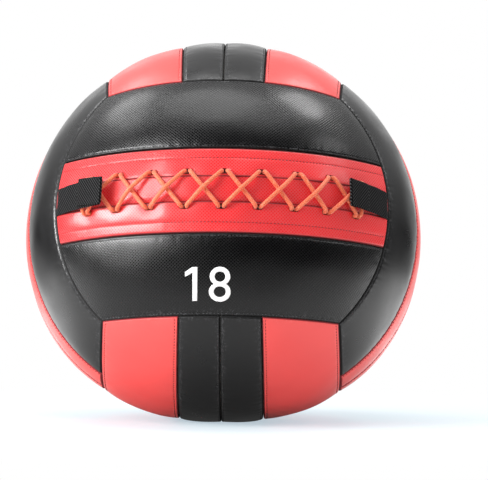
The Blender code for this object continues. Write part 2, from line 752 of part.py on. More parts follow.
def tab_hinge(side, turn):
    """World matrix of a tab's hinge: X along the tab, Y along the seam, Z outwards."""
    end = edge_cut(SIDE_EDGE_SEAM)
    radius = 1 - hinge_depth() / BALL_RADIUS
    reach = end_angle(BAND_MIDDLE, end, radius)
    direction = face_direction("front", BAND_MIDDLE, side * reach, radius)
    root = ball_point(direction, hinge_depth())
    outwards = LEAN_BACK @ direction.normalized()
    seam = LEAN_BACK @ FACE_AXES["front"][1]
    seam = (seam - seam.dot(outwards) * outwards).normalized() * -side
    seam.rotate(Matrix.Rotation(turn * -side, 3, outwards))
    inwards = seam.cross(outwards)
    axes = Matrix((inwards, seam, outwards)).transposed().to_4x4()
    return Matrix.Translation(BALL_CENTRE + root) @ axes


def mitre(line, index):
    """Direction square to a line at one of its points, long enough to keep the wall's thickness."""
    steps = [after - before for before, after in zip(line, line[1:])]
    normals = [Vector((-step.y, step.x)).normalized() for step in steps[max(index - 1, 0) : index + 1]]
    square = sum(normals, Vector((0, 0))).normalized()
    return square / square.dot(normals[0])


def make_tab(name, finish, hinge, line):
    """One tab, drawn in its hinge's frame with the seam along Y."""
    mesh = unit_slab(len(line) - 1, 1)
    for vertex in mesh.verts:
        index = round((vertex.co.x + 1 / 2) * (len(line) - 1))
        place = line[index] + mitre(line, index) * TAB_THICKNESS * (1 / 2 + vertex.co.z)
        vertex.co = (place.x, vertex.co.y * TAB_WIDTH, place.y)
    return make_object(name, mesh, finish, hinge)


def make_tabs(finishes):
    """Both tabs, each on an empty at its hinge."""
    tabs = (
        ("left_tab", -1, LEFT_TAB_TURN, LEFT_TAB_LENGTH, LEFT_TAB_TURNED_BACK),
        ("right_tab", 1, RIGHT_TAB_TURN, RIGHT_TAB_LENGTH, RIGHT_TAB_TURNED_BACK),
    )
    for name, side, turn, length, turned_back in tabs:
        hinge = make_empty(f"{name}_hinge", tab_hinge(side, turn))
        make_tab(name, finishes["webbing"], hinge, tab_line(length, turned_back))


def make_finishes():
    """The ball's materials."""
    return {
        "red_vinyl": make_material("red_vinyl", (0.78, 0.04, 0.05), 0.42),
        "black_vinyl": make_material("black_vinyl", (0.012, 0.012, 0.014), 0.40),
        "webbing": make_material("webbing", (0.015, 0.015, 0.016), 0.85),
        "lace": make_material("lace", (0.88, 0.18, 0.06), 0.60),
        "canvas": make_material("canvas", (0.55, 0.50, 0.42), 0.90),
        "fibre": make_material("fibre", (0.75, 0.73, 0.68), 0.95),
        "bag_cloth": make_material("bag_cloth", (0.30, 0.32, 0.36), 0.85),
        "iron_sand": make_material("iron_sand", (0.12, 0.11, 0.10), 0.60, 0.7),
        "tie_cord": make_material("tie_cord", (0.70, 0.68, 0.60), 0.80),
    }


def main():
    """Build the whole ball."""
    clear_scene()
    finishes = make_finishes()
    centre = make_empty("ball_centre", Matrix.Translation(BALL_CENTRE))
    make_plain_faces(finishes, centre)
    make_front_strips(finishes, centre)
    inner_depth = make_band(finishes, centre)
    make_lace(finishes, centre, inner_depth)
    make_tabs(finishes)
    make_liner(finishes, centre)
    make_fill(finishes, centre)
    make_weight(finishes, centre)


main()
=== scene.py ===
"""Looks of a wall ball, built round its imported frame.

The skin is made panel by panel as padded vinyl with rolled seams and rows of stitches. The middle band
has two flaps that a braided lace draws together over a tongue, and a webbing tab at each end. Inside
are the canvas liner, the fibre fill and the bag of iron sand.

Lengths are in metres, +Z is up, and the ball stands on its flat foot at the origin. The laced face
looks along -Y and leans back a little.
"""

import logging
import math
from collections.abc import Callable, Sequence
from dataclasses import dataclass, field
from enum import Enum

import bmesh
import bpy
import numpy as np
from mathutils import Matrix, Vector

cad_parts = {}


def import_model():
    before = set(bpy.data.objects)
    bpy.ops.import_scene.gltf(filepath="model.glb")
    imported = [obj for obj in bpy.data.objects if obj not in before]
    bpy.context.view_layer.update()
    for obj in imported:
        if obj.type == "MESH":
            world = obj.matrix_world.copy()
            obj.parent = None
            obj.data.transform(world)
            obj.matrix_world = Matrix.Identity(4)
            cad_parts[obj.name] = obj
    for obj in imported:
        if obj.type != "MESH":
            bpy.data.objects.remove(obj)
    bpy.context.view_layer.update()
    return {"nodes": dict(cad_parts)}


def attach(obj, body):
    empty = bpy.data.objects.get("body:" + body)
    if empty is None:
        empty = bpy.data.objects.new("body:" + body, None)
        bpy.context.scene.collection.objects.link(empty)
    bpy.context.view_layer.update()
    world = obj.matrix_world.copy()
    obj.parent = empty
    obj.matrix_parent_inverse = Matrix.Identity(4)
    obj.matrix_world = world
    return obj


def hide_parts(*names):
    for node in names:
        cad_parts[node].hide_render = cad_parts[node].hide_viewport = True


Array = np.ndarray
Piece = bpy.types.Object
Socket = bpy.types.NodeSocket
Material = bpy.types.Material
Colour = tuple[float, float, float]
Faces = list[tuple[int, ...]]
Inputs = dict[str | int, object]
CutLine = tuple[Array | float, Array | float]

LOG = logging.getLogger("wall_ball")
BALL = "ball"
MILLIMETRE = 0.001
MERGE_DISTANCE = 0.01 * MILLIMETRE
WAVES_OF_EACH_LENGTH = 3
SEEDS_OF_EACH_PANEL = 7


# Shared helpers
def waves(places: Array, lengths: Sequence[float], seed: int) -> Array:
    """Soft unevenness from a few crossing waves, mostly between -1 and 1.

    Args:
        places: points, one a row, along the last axis.
        lengths: wave lengths.
        seed: start of the random draws.

    Returns:
        One value for each point.
    """
    random = np.random.default_rng(seed)
    total = np.zeros(places.shape[:-1])
    for length in lengths:
        for _ in range(WAVES_OF_EACH_LENGTH):
            course = random.normal(size=places.shape[-1])
            course *= math.tau / length / np.linalg.norm(course)
            total += np.sin(places @ course + random.uniform(0, math.tau))
    return total / math.sqrt(WAVES_OF_EACH_LENGTH * len(lengths))


def unit(vectors: Array) -> Array:
    """Vectors along the last axis, made one long."""
    return vectors / np.linalg.norm(vectors, axis=-1, keepdims=True)


def distances(line: Array) -> Array:
    """How far along a line each of its points lies."""
    return np.concatenate(([0.0], np.cumsum(np.linalg.norm(np.diff(line, axis=0), axis=1))))


def read_off(places: Array, reached: Array, values: Array) -> Array:
    """Values of a line's points, one row each, at other distances along it."""
    return np.stack([np.interp(places, reached, column) for column in values.T], -1)


def tube_faces(rings: int, sides: int, first: int = 0) -> Faces:
    """Faces of a closed tube whose points come ring after ring.

    Args:
        rings: how many rings of points it has.
        sides: how many points a ring has.
        first: number of the first point.

    Returns:
        The corners of each face, with those of both ends last.
    """
    faces = []
    for base in range(first, first + (rings - 1) * sides, sides):
        for side in range(sides):
            after = (side + 1) % sides
            faces.append((base + side, base + after, base + sides + after, base + sides + side))
    end = tuple(range(first, first + sides))
    return [*faces, end[::-1], tuple(corner + (rings - 1) * sides for corner in end)]


def deselect() -> None:
    """Leave nothing selected, so that the next operator works on its own piece alone."""
    if bpy.context.object and bpy.context.object.mode != "OBJECT":
        bpy.ops.object.mode_set(mode="OBJECT")
    bpy.ops.object.select_all(action="DESELECT")


def pick(piece: Piece) -> None:
    """Make one piece the only selected and active one.

    Args:
        piece: the piece.
    """
    deselect()
    piece.select_set(True)
    bpy.context.view_layer.objects.active = piece


def take_new(name: str) -> Piece:
    """Name the piece that an operator has just added.

    Args:
        name: its name, and that of its data.

    Returns:
        The piece.
    """
    piece = bpy.context.object
    piece.name = piece.data.name = name
    return piece


def add_piece(name: str, data: bpy.types.ID) -> Piece:
    """Put a mesh, a lamp or a camera into the scene.

    Args:
        name: the piece's name.
        data: the mesh, the lamp or the camera.

    Returns:
        The piece that carries the data.
    """
    piece = bpy.data.objects.new(name, data)
    bpy.context.scene.collection.objects.link(piece)
    return piece


def add_mesh(name: str, points: Array, faces: Faces) -> Piece:
    """Put a new mesh into the scene.

    Args:
        name: name of the mesh and of its piece.
        points: its points, one a row.
        faces: the corners of each face, as numbers of points.

    Returns:
        The piece that carries the mesh.
    """
    data = bpy.data.meshes.new(name)
    data.from_pydata(points, [], faces)
    return add_piece(name, data)


def apply_modifier(piece: Piece, kind: str, **settings: object) -> None:
    """Add a modifier, set it up and apply it.

    Args:
        piece: the piece that it works on.
        kind: the modifier's type, as Blender names it.
        settings: its settings by name.
    """
    pick(piece)
    modifier = piece.modifiers.new(kind.lower(), kind)
    for key, value in settings.items():
        setattr(modifier, key, value)
    bpy.ops.object.modifier_apply(modifier=modifier.name)


def cut_across(places: Array, axis: int) -> None:
    """Cut the mesh that is in Edit Mode into slices.

    Args:
        places: where the cuts lie along the axis.
        axis: number of the axis that they are square to.
    """
    normal = np.eye(3)[axis]
    for place in places:
        bpy.ops.mesh.select_all(action="SELECT")
        bpy.ops.mesh.bisect(plane_co=normal * place, plane_no=normal)


def get_vectors(piece: Piece, kind: str = "co") -> Array:
    """What each vertex of a mesh has of one kind.

    Args:
        piece: the piece with the mesh.
        kind: "co" for the places of the vertices, or "normal" for their normals.

    Returns:
        The vectors, one a row.
    """
    vectors = np.empty(len(piece.data.vertices) * 3, np.float32)
    piece.data.vertices.foreach_get(kind, vectors)
    return vectors.reshape(-1, 3).astype(float)


def set_places(piece: Piece, places: Array) -> None:
    """Put a mesh's vertices at the given points, one a row."""
    piece.data.vertices.foreach_set("co", places.astype(np.float32).ravel())
    piece.data.update()


def set_uv(piece: Piece, flat: Array) -> None:
    """Lay a mesh out flat, as its UV map.

    Args:
        piece: the piece with the mesh.
        flat: place of each vertex on the flat cloth, in metres.
    """
    layer = piece.data.uv_layers.active or piece.data.uv_layers.new(name="cloth")
    corners = np.empty(len(piece.data.loops), np.int32)
    piece.data.loops.foreach_get("vertex_index", corners)
    layer.data.foreach_set("uv", flat[corners].astype(np.float32).ravel())


def cloth_grid(along: Array, across: Array) -> Array:
    """Places on flat cloth, one a row, for each distance along it and each across it."""
    return np.stack(np.broadcast_arrays(along[:, None], across[None, :]), -1).reshape(-1, 2)


def face_outwards(piece: Piece, sheet_side: Vector | None = None) -> None:
    """Point a mesh's faces outwards.

    Args:
        piece: the piece, which is closed and loses its doubles, or is an open sheet.
        sheet_side: for an open sheet, the direction to which its faces look.
    """
    mesh = bmesh.new()
    mesh.from_mesh(piece.data)
    if sheet_side is None:
        bmesh.ops.remove_doubles(mesh, verts=mesh.verts, dist=MERGE_DISTANCE)
    bmesh.ops.recalc_face_normals(mesh, faces=mesh.faces)
    if sheet_side is None:
        outwards = mesh.calc_volume(signed=True)
    else:
        outwards = sum(face.normal.dot(sheet_side) * face.calc_area() for face in mesh.faces)
    if outwards < 0:
        bmesh.ops.reverse_faces(mesh, faces=mesh.faces)
    mesh.to_mesh(piece.data)
    mesh.free()


def finish_piece(
    piece: Piece, material: Material, slot: str, body: str = BALL, node: str = "", fill: float = 0.0
) -> None:
    """Dress a finished piece, hide the node that it stands for, and let it ride on its body.

    Args:
        piece: the piece, at the origin, with its place in its mesh.
        material: the finish on all of it.
        slot: name of a material slot; not used.
        body: the body that it moves with.
        node: the node that it stands for, if it does.
        fill: how full it is, if it is padded; not used.
    """
    piece.data.materials.clear()
    piece.data.materials.append(material)
    piece.data.shade_smooth()
    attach(piece, body)
    if node:
        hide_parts(node)
    LOG.info("%s rides on %s", piece.name, body)


# Finishes
class NodeBoard:
    """The node tree of a material or a world, with short ways to add and join nodes."""

    def __init__(self, name: str, kind: str = "materials") -> None:
        """Start the tree with its own first shader.

        Args:
            name: the name it gets.
            kind: which of Blender's lists it goes into, "materials" or "worlds".
        """
        self.material = getattr(bpy.data, kind).new(name)
        self.material.use_nodes = True
        self.tree = self.material.node_tree
        self.shader = self.tree.nodes["Principled BSDF" if kind == "materials" else "Background"]

    def add(self, kind: str, inputs: Inputs | None = None, **settings: object) -> bpy.types.Node:
        """Add a node.

        Args:
            kind: the node's type, as Blender names it after the word ShaderNode.
            inputs: values or sockets for its inputs, by name or number.
            settings: its settings by name.

        Returns:
            The new node.
        """
        node = self.tree.nodes.new(f"ShaderNode{kind}")
        for key, value in settings.items():
            setattr(node, key, value)
        self.feed(node, inputs or {})
        return node

    def feed(self, node: bpy.types.Node, inputs: Inputs) -> None:
        """Link outputs to a node's inputs, or set the inputs' own values.

        Args:
            node: the node.
            inputs: values or sockets for its inputs, by name or number.
        """
        for key, value in inputs.items():
            if isinstance(value, Socket):
                self.tree.links.new(value, node.inputs[key])
            else:
                node.inputs[key].default_value = value

    def dress(
        self, colour: Socket, roughness: Socket | float, normal: Socket, others: Inputs | None = None
    ) -> Material:
        """Join a material's shader up.

        Args:
            colour, roughness, normal: what the inputs of these names take.
            others: values for other inputs, by name.

        Returns:
            The material.
        """
        inputs = {"Base Color": colour, "Roughness": roughness, "Normal": normal}
        self.feed(self.shader, {**inputs, **(others or {})})
        return self.material

    def math(self, operation: str, first: object, second: object = 0.0) -> Socket:
        """Result of a Math node."""
        return self.add("Math", {0: first, 1: second}, operation=operation).outputs[0]

    def coordinates(self, kind: str) -> Socket:
        """Texture coordinates of one kind."""
        return self.add("TexCoord").outputs[kind]

    def parts(self, kind: str) -> bpy.types.bpy_prop_collection:
        """The X, Y and Z of texture coordinates of one kind."""
        return self.add("SeparateXYZ", {0: self.coordinates(kind)}).outputs

    def seen(self) -> Socket:
        """One for what the camera sees, straight or through something clear, and zero for the rest."""
        path = self.add("LightPath").outputs
        return self.math("MAXIMUM", path["Is Camera Ray"], path["Is Transmission Ray"])

    def mirrored(self) -> Socket:
        """One for what is seen in a reflection, and zero for the rest."""
        return self.add("LightPath").outputs["Is Glossy Ray"]

    def noise(self, scale: float, detail: float = 3.0, roughness: float = 0.5) -> Socket:
        """Noise on Object coordinates, with its scale in turns a metre."""
        inputs = {"Scale": scale, "Detail": detail, "Roughness": roughness}
        return self.add("TexNoise", {"Vector": self.coordinates("Object"), **inputs}).outputs["Fac"]

    def between(
        self, value: Socket, low: float, high: float, start: float = 0.0, end: float = 1.0,
        kind: str = "LINEAR",
    ) -> Socket:
        """A value mapped from the range low to high on to the range start to end, and kept within it."""
        inputs = dict(enumerate((value, low, high, start, end)))
        return self.add("MapRange", inputs, interpolation_type=kind).outputs[0]

    def mix(self, share: Socket, first: Socket | Colour, second: Socket | Colour) -> Socket:
        """A colour mixed from two others."""
        colours = [value if isinstance(value, Socket) else (*value, 1.0) for value in (first, second)]
        return self.add("Mix", {0: share, 6: colours[0], 7: colours[1]}, data_type="RGBA").outputs[2]

    def choose(self, kind: str, share: Socket, first: object, second: object) -> Socket:
        """A value, by Mix, or a shader, by MixShader, mixed from two others."""
        inputs = (2, 3) if kind == "Mix" else (1, 2)
        return self.add(kind, {0: share, inputs[0]: first, inputs[1]: second}).outputs[0]

    def bump(self, height: Socket, distance: float, strength: float, below: Socket | None = None) -> Socket:
        """A normal bent by a height.

        Args:
            height: the height, mostly from 0 to 1.
            distance: how high 1 is, in metres.
            strength: how much of the bend shows.
            below: another bump that this one lies on.

        Returns:
            The bent normal.
        """
        inputs = {"Height": height, "Distance": distance, "Strength": strength}
        if below is not None:
            inputs["Normal"] = below
        return self.add("Bump", inputs).outputs["Normal"]

    def uv_lines(self, along: float, across: float) -> Socket:
        """Ridges over the flat cloth.

        Args:
            along, across: how many ridges a metre has each way.

        Returns:
            The height of the ridges, from 0 to 1.
        """
        parts = self.parts("UV")
        first = self.math("MULTIPLY", parts[0], along * math.pi)
        second = self.math("MULTIPLY", parts[1], across * math.pi)
        return self.math("ABSOLUTE", self.math("SINE", self.math("ADD", first, second)))

    def crossed_lines(self, along: float, across: float) -> Socket:
        """Height from 0 to 1 of the cells where ridges over the flat cloth cross their mirror images."""
        return self.math("MULTIPLY", self.uv_lines(along, across), self.uv_lines(along, -across))


@dataclass(frozen=True)
class Mottle:
    """Soft patches, where a noise rises from one level to another."""

    scale: float
    detail: float = 3.0
    roughness: float = 0.5
    low: float = 0.35
    high: float = 0.65

    def share(self, board: NodeBoard, start: float = 0.0, end: float = 1.0) -> Socket:
        """A value that the patches carry from start to end."""
        noise = board.noise(self.scale, self.detail, self.roughness)
        return board.between(noise, self.low, self.high, start, end)


@dataclass(frozen=True)
class Grain:
    """Fine unevenness of a surface, from a noise."""

    scale: float
    detail: float
    depth: float
    strength: float

    def bump(self, board: NodeBoard) -> Socket:
        """The normal that it bends."""
        return board.bump(board.noise(self.scale, self.detail), self.depth, self.strength)


@dataclass(frozen=True)
class Finish:
    """A material of two colours that lie close together."""

    name: str
    colour: Colour
    deep_colour: Colour


@dataclass(frozen=True)
class Vinyl(Finish):
    """Coated cloth: a slightly uneven colour, a fine grain, scuffs and painted shade by the seams, and on
    some panels a woven emboss with painted shade in its grooves.
    """

    scuff_colour: Colour
    crease_shade_colour: Colour
    smooth: float
    dull: float
    specular: float
    scuff: float
    embossed: bool = False
    crease_reach: tuple[float, float] = (0.90, 0.97)
    crease_dullness: float = 0.60
    groove_shade_colour: Colour = (0.0, 0.0, 0.0)
    groove_reach: tuple[float, float] = (0.10, 0.55)
    groove_shade_share: float = 0.40
    groove_dullness: float = 0.42
    emboss_pitch: float = 2.2 * MILLIMETRE
    emboss_depth: float = 0.062 * MILLIMETRE
    emboss_top: float = 0.6
    patches: Mottle = Mottle(9.0, 2.0)
    scuffs: Mottle = Mottle(420.0, 4.0, 0.7, 0.52, 0.72)
    gloss: Mottle = Mottle(34.0, 4.0, 0.5, 0.3, 0.7)
    grain: Grain = Grain(1500.0, 2.0, 0.05 * MILLIMETRE, 0.35)

    def build(self) -> Material:
        """Set the finish up.

        Returns:
            Its material.
        """
        board = NodeBoard(self.name)
        colour = board.mix(self.patches.share(board), self.colour, self.deep_colour)
        seam = board.add("Attribute", attribute_name="seam").outputs["Fac"]
        worn = board.math("MULTIPLY", self.scuffs.share(board, 0.0, self.scuff), seam)
        colour = board.mix(worn, colour, self.scuff_colour)
        # Painted shade: right by the seams the colour is darkened towards the crease colour, where shade
        # falls; the same mask also makes the vinyl duller there.
        shaded_crease = board.between(seam, *self.crease_reach)
        colour = board.mix(shaded_crease, colour, self.crease_shade_colour)
        shine = self.gloss.share(board, self.smooth, self.dull)
        shine = board.math("ADD", shine, board.math("MULTIPLY", shaded_crease, self.crease_dullness))
        normal = self.grain.bump(board)
        if self.embossed:
            turns = 1 / self.emboss_pitch / math.sqrt(2)
            cells = board.crossed_lines(turns, turns)
            normal = board.bump(board.between(cells, 0.0, self.emboss_top), self.emboss_depth, 1.0, normal)
            # Painted shade: the emboss grooves are darkened towards the groove colour, where shade falls;
            # they are also made duller.
            shaded_groove = board.between(cells, *self.groove_reach, 1.0, 0.0)
            shine = board.math("ADD", shine, board.math("MULTIPLY", shaded_groove, self.groove_dullness))
            colour = board.mix(board.math("MULTIPLY", shaded_groove, self.groove_shade_share), colour, self.groove_shade_colour)
        return board.dress(colour, shine, normal, {"Specular IOR Level": self.specular})


@dataclass(frozen=True)
class Thread(Finish):
    """Sewing thread, with the twist of its plies."""

    roughness: float = 0.55
    flecks: Mottle = Mottle(700.0, low=0.4, high=0.6)
    twist: Grain = Grain(2600.0, 2.0, 0.1 * MILLIMETRE, 0.5)

    def build(self) -> Material:
        """Set the finish up.

        Returns:
            Its material.
        """
        board = NodeBoard(self.name)
        colour = board.mix(self.flecks.share(board), self.colour, self.deep_colour)
        return board.dress(colour, self.roughness, self.twist.bump(board))


@dataclass(frozen=True)
class BraidedCord(Finish):
    """Round braided lace, from its UV map along and round the cord: painted shade between the strands, and
    pale flecks of painted highlight at random.
    """

    highlight_fleck_colour: Colour
    strand_pitch: float
    strands: int
    roughness: float = 0.5
    sheen: float = 0.25
    relief: float = 0.12 * MILLIMETRE
    relief_strength: float = 0.6
    highlight_fleck_share: float = 0.45
    flecks: Mottle = Mottle(900.0, 1.0, 0.5, 0.60, 0.68)
    fibres: Grain = Grain(3800.0, 2.0, 0.1 * MILLIMETRE, 0.4)

    def build(self) -> Material:
        """Set the finish up.

        Returns:
            Its material.
        """
        board = NodeBoard(self.name)
        strand = board.crossed_lines(1 / self.strand_pitch, self.strands)
        # Painted shade: between the strands the colour falls to the darker one.
        colour = board.mix(strand, self.deep_colour, self.colour)
        # Painted highlight: pale flecks laid at random over the cord.
        colour = board.mix(self.flecks.share(board, 0.0, self.highlight_fleck_share), colour, self.highlight_fleck_colour)
        normal = board.bump(strand, self.relief, self.relief_strength, self.fibres.bump(board))
        return board.dress(colour, self.roughness, normal, {"Sheen Weight": self.sheen})


@dataclass(frozen=True)
class Weave(Finish):
    """Webbing, with its slanting ribs and its yarns laid out over the UV map, and painted glints on the tips
    of the ribs.
    """

    rib_pitch: float
    yarn_pitch: float
    roughness: float = 0.8
    sheen: float = 0.2
    specular: float = 0.08
    relief: float = 0.25 * MILLIMETRE
    relief_strength: float = 0.7
    yarn_base: float = 0.55
    glint_sharpness: float = 6.0
    fibres: Grain = Grain(2400.0, 3.0, 0.12 * MILLIMETRE, 0.5)

    def build(self) -> Material:
        """Set the finish up.

        Returns:
            Its material.
        """
        board = NodeBoard(self.name)
        ribs = board.uv_lines(1 / self.rib_pitch, 1 / self.rib_pitch)
        yarns = board.between(board.uv_lines(1 / self.yarn_pitch, 0.0), 0.0, 1.0, self.yarn_base)
        weave = board.math("MULTIPLY", ribs, yarns)
        # Painted highlight: only the tips of the ribs turn to the light colour, as glints; the rest keeps the
        # dark colour.
        colour = board.mix(board.math("POWER", weave, self.glint_sharpness), self.deep_colour, self.colour)
        normal = board.bump(weave, self.relief, self.relief_strength, self.fibres.bump(board))
        others = {"Sheen Weight": self.sheen, "Specular IOR Level": self.specular}
        return board.dress(colour, self.roughness, normal, others)


@dataclass(frozen=True)
class Loose(Finish):
    """Fibre, grains, plain cloth or print."""

    grain: float
    roughness: float
    metallic: float = 0.0
    detail: float = 5.0
    coarseness: float = 0.7
    spread: tuple[float, float] = (0.35, 0.65)
    relief: float = 1.0 * MILLIMETRE
    relief_strength: float = 0.7

    def build(self) -> Material:
        """Set the finish up.

        Returns:
            Its material.
        """
        board = NodeBoard(self.name)
        grains = board.noise(self.grain, self.detail, self.coarseness)
        colour = board.mix(board.between(grains, *self.spread), self.deep_colour, self.colour)
        normal = board.bump(grains, self.relief, self.relief_strength)
        return board.dress(colour, self.roughness, normal, {"Metallic": self.metallic})


def make_finishes() -> dict[str, Material]:
    """Set up all the ball's finishes.

    Returns:
        Their materials by name.
    """
    red = (0.80, 0.020, 0.024), (0.72, 0.014, 0.019)
    light_red = (0.86, 0.078, 0.072), (0.80, 0.062, 0.058)
    black = (0.0035, 0.0035, 0.0040), (0.0020, 0.0020, 0.0024)
    # The lace's orange, then its darker colour, painted shade between the strands, and the pale colour,
    # painted highlight flecks.
    orange_with_groove_shade, highlight_orange = ((0.84, 0.18, 0.068), (0.64, 0.085, 0.030)), (0.95, 0.48, 0.28)
    scuffed_red, scuffed_black = (0.95, 0.30, 0.28), (0.16, 0.16, 0.17)
    # The darker red is the red thread's own colour and also painted shade in the creases of red vinyl; the
    # near black is painted shade in the creases of black vinyl and in the grooves of its emboss.
    thread_and_shade_red, dark = (0.20, 0.006, 0.010), (0.001, 0.001, 0.001)
    finishes = (
        Vinyl(
            "red_vinyl", *light_red, scuffed_red, thread_and_shade_red,
            smooth=0.30, dull=0.42, specular=0.8, scuff=0.25,
        ),
        # Its groove colour is painted shade in the emboss grooves.
        Vinyl(
            "red_vinyl_embossed", *red, scuffed_red, thread_and_shade_red, smooth=0.14, dull=0.24, specular=1.0,
            scuff=0.25, groove_shade_colour=(0.42, 0.008, 0.010), embossed=True,
        ),
        Vinyl(
            "black_vinyl", *black, scuffed_black, dark,
            smooth=0.26, dull=0.38, specular=0.9, scuff=0.55,
        ),
        Vinyl(
            "black_vinyl_embossed", *black, scuffed_black, dark, smooth=0.13, dull=0.22, specular=0.75,
            scuff=0.55, groove_shade_colour=dark, groove_dullness=0.24, embossed=True,
        ),
        Thread("red_thread", thread_and_shade_red, (0.10, 0.003, 0.006)),
        Thread("grey_thread", (0.075, 0.075, 0.08), (0.02, 0.02, 0.022)),
        BraidedCord("lace", *orange_with_groove_shade, highlight_orange, strand_pitch=4.4 * MILLIMETRE, strands=6),
        # Both webbings: the light colour is painted glints on the rib tips.
        Weave(
            "webbing", (0.10, 0.10, 0.104), (0.0003, 0.0003, 0.0003),
            rib_pitch=3.2 * MILLIMETRE, yarn_pitch=1.6 * MILLIMETRE, roughness=0.7, sheen=0.0,
        ),
        Weave(
            "facing_webbing", (0.022, 0.022, 0.024), (0.006, 0.006, 0.007),
            rib_pitch=1.6 * MILLIMETRE, yarn_pitch=0.8 * MILLIMETRE,
        ),
        Loose("canvas", (0.55, 0.50, 0.42), (0.40, 0.36, 0.29), 1400.0, 0.9),
        Loose("fibre", (0.78, 0.76, 0.71), (0.52, 0.50, 0.46), 260.0, 0.95),
        Loose("bag_cloth", (0.30, 0.32, 0.36), (0.19, 0.21, 0.25), 1600.0, 0.85),
        Loose("iron_sand", (0.12, 0.11, 0.10), (0.03, 0.028, 0.026), 1100.0, 0.55, 0.7),
        Loose("tie_cord", (0.70, 0.68, 0.60), (0.48, 0.45, 0.38), 1500.0, 0.8),
        Loose("white_print", (0.88, 0.88, 0.88), (0.78, 0.78, 0.78), 500.0, 0.5),
    )
    return {finish.name: finish.build() for finish in finishes}


# Shape of the ball and of its seams
class Face(Enum):
    """Axes of each face in the ball's own frame: along its strips, across them, and outwards."""

    FRONT = ((1, 0, 0), (0, 0, 1), (0, -1, 0))
    REAR = ((1, 0, 0), (0, 0, 1), (0, 1, 0))
    TOP = ((0, 1, 0), (1, 0, 0), (0, 0, 1))
    BOTTOM = ((0, 1, 0), (1, 0, 0), (0, 0, -1))
    LEFT = ((0, 0, 1), (0, 1, 0), (-1, 0, 0))
    RIGHT = ((0, 0, 1), (0, 1, 0), (1, 0, 0))

    def turns_over(self) -> bool:
        """Whether a flat sheet laid along and across this face shows its back."""
        along, across, outwards = (Vector(axis) for axis in self.value)
        return along.cross(across).dot(outwards) < 0


@dataclass(frozen=True)
class Cut:
    """A seam as a flat cut: its offset across the face grows with the height over the ball's centre."""

    offset: float
    slope: float

    @classmethod
    def through(cls, mid_angle: float, end_across: float, end_out: float) -> "Cut":
        """The cut through a seam's middle and one of its ends, on a unit ball.

        Args:
            mid_angle: angle of the seam's middle off the middle of the face.
            end_across, end_out: place of its end, across the face and outwards.

        Returns:
            The cut.
        """
        out, across = math.cos(mid_angle), math.sin(mid_angle)
        slope = (across - end_across) / (out - end_out)
        return cls(across - slope * out, slope)

    @classmethod
    def edge(cls, mid_angle: float) -> "Cut":
        """The cut along an edge of a face, from corner to corner."""
        corner = 1 / math.sqrt(3)
        return cls.through(mid_angle, corner, corner)

    @classmethod
    def strip(cls, mid_angle: float, end_angle: float) -> "Cut":
        """The cut between two strips of one face.

        Args:
            mid_angle: angle of the seam's middle off the middle of the face.
            end_angle: the same angle at its ends.

        Returns:
            The cut.
        """
        reach = 0.76
        across = math.sin(end_angle)
        return cls.through(mid_angle, across, math.sqrt(1 - reach**2 - across**2))

    def mirrored(self) -> "Cut":
        """The same cut on the other side of the face."""
        return Cut(-self.offset, -self.slope)

    def moved(self, share: float) -> "Cut":
        """The cut moved sideways by a share of the ball's radius."""
        return Cut(self.offset + share, self.slope)

    def halfway(self, other: "Cut") -> "Cut":
        """The cut half way to another."""
        return Cut((self.offset + other.offset) / 2, (self.slope + other.slope) / 2)


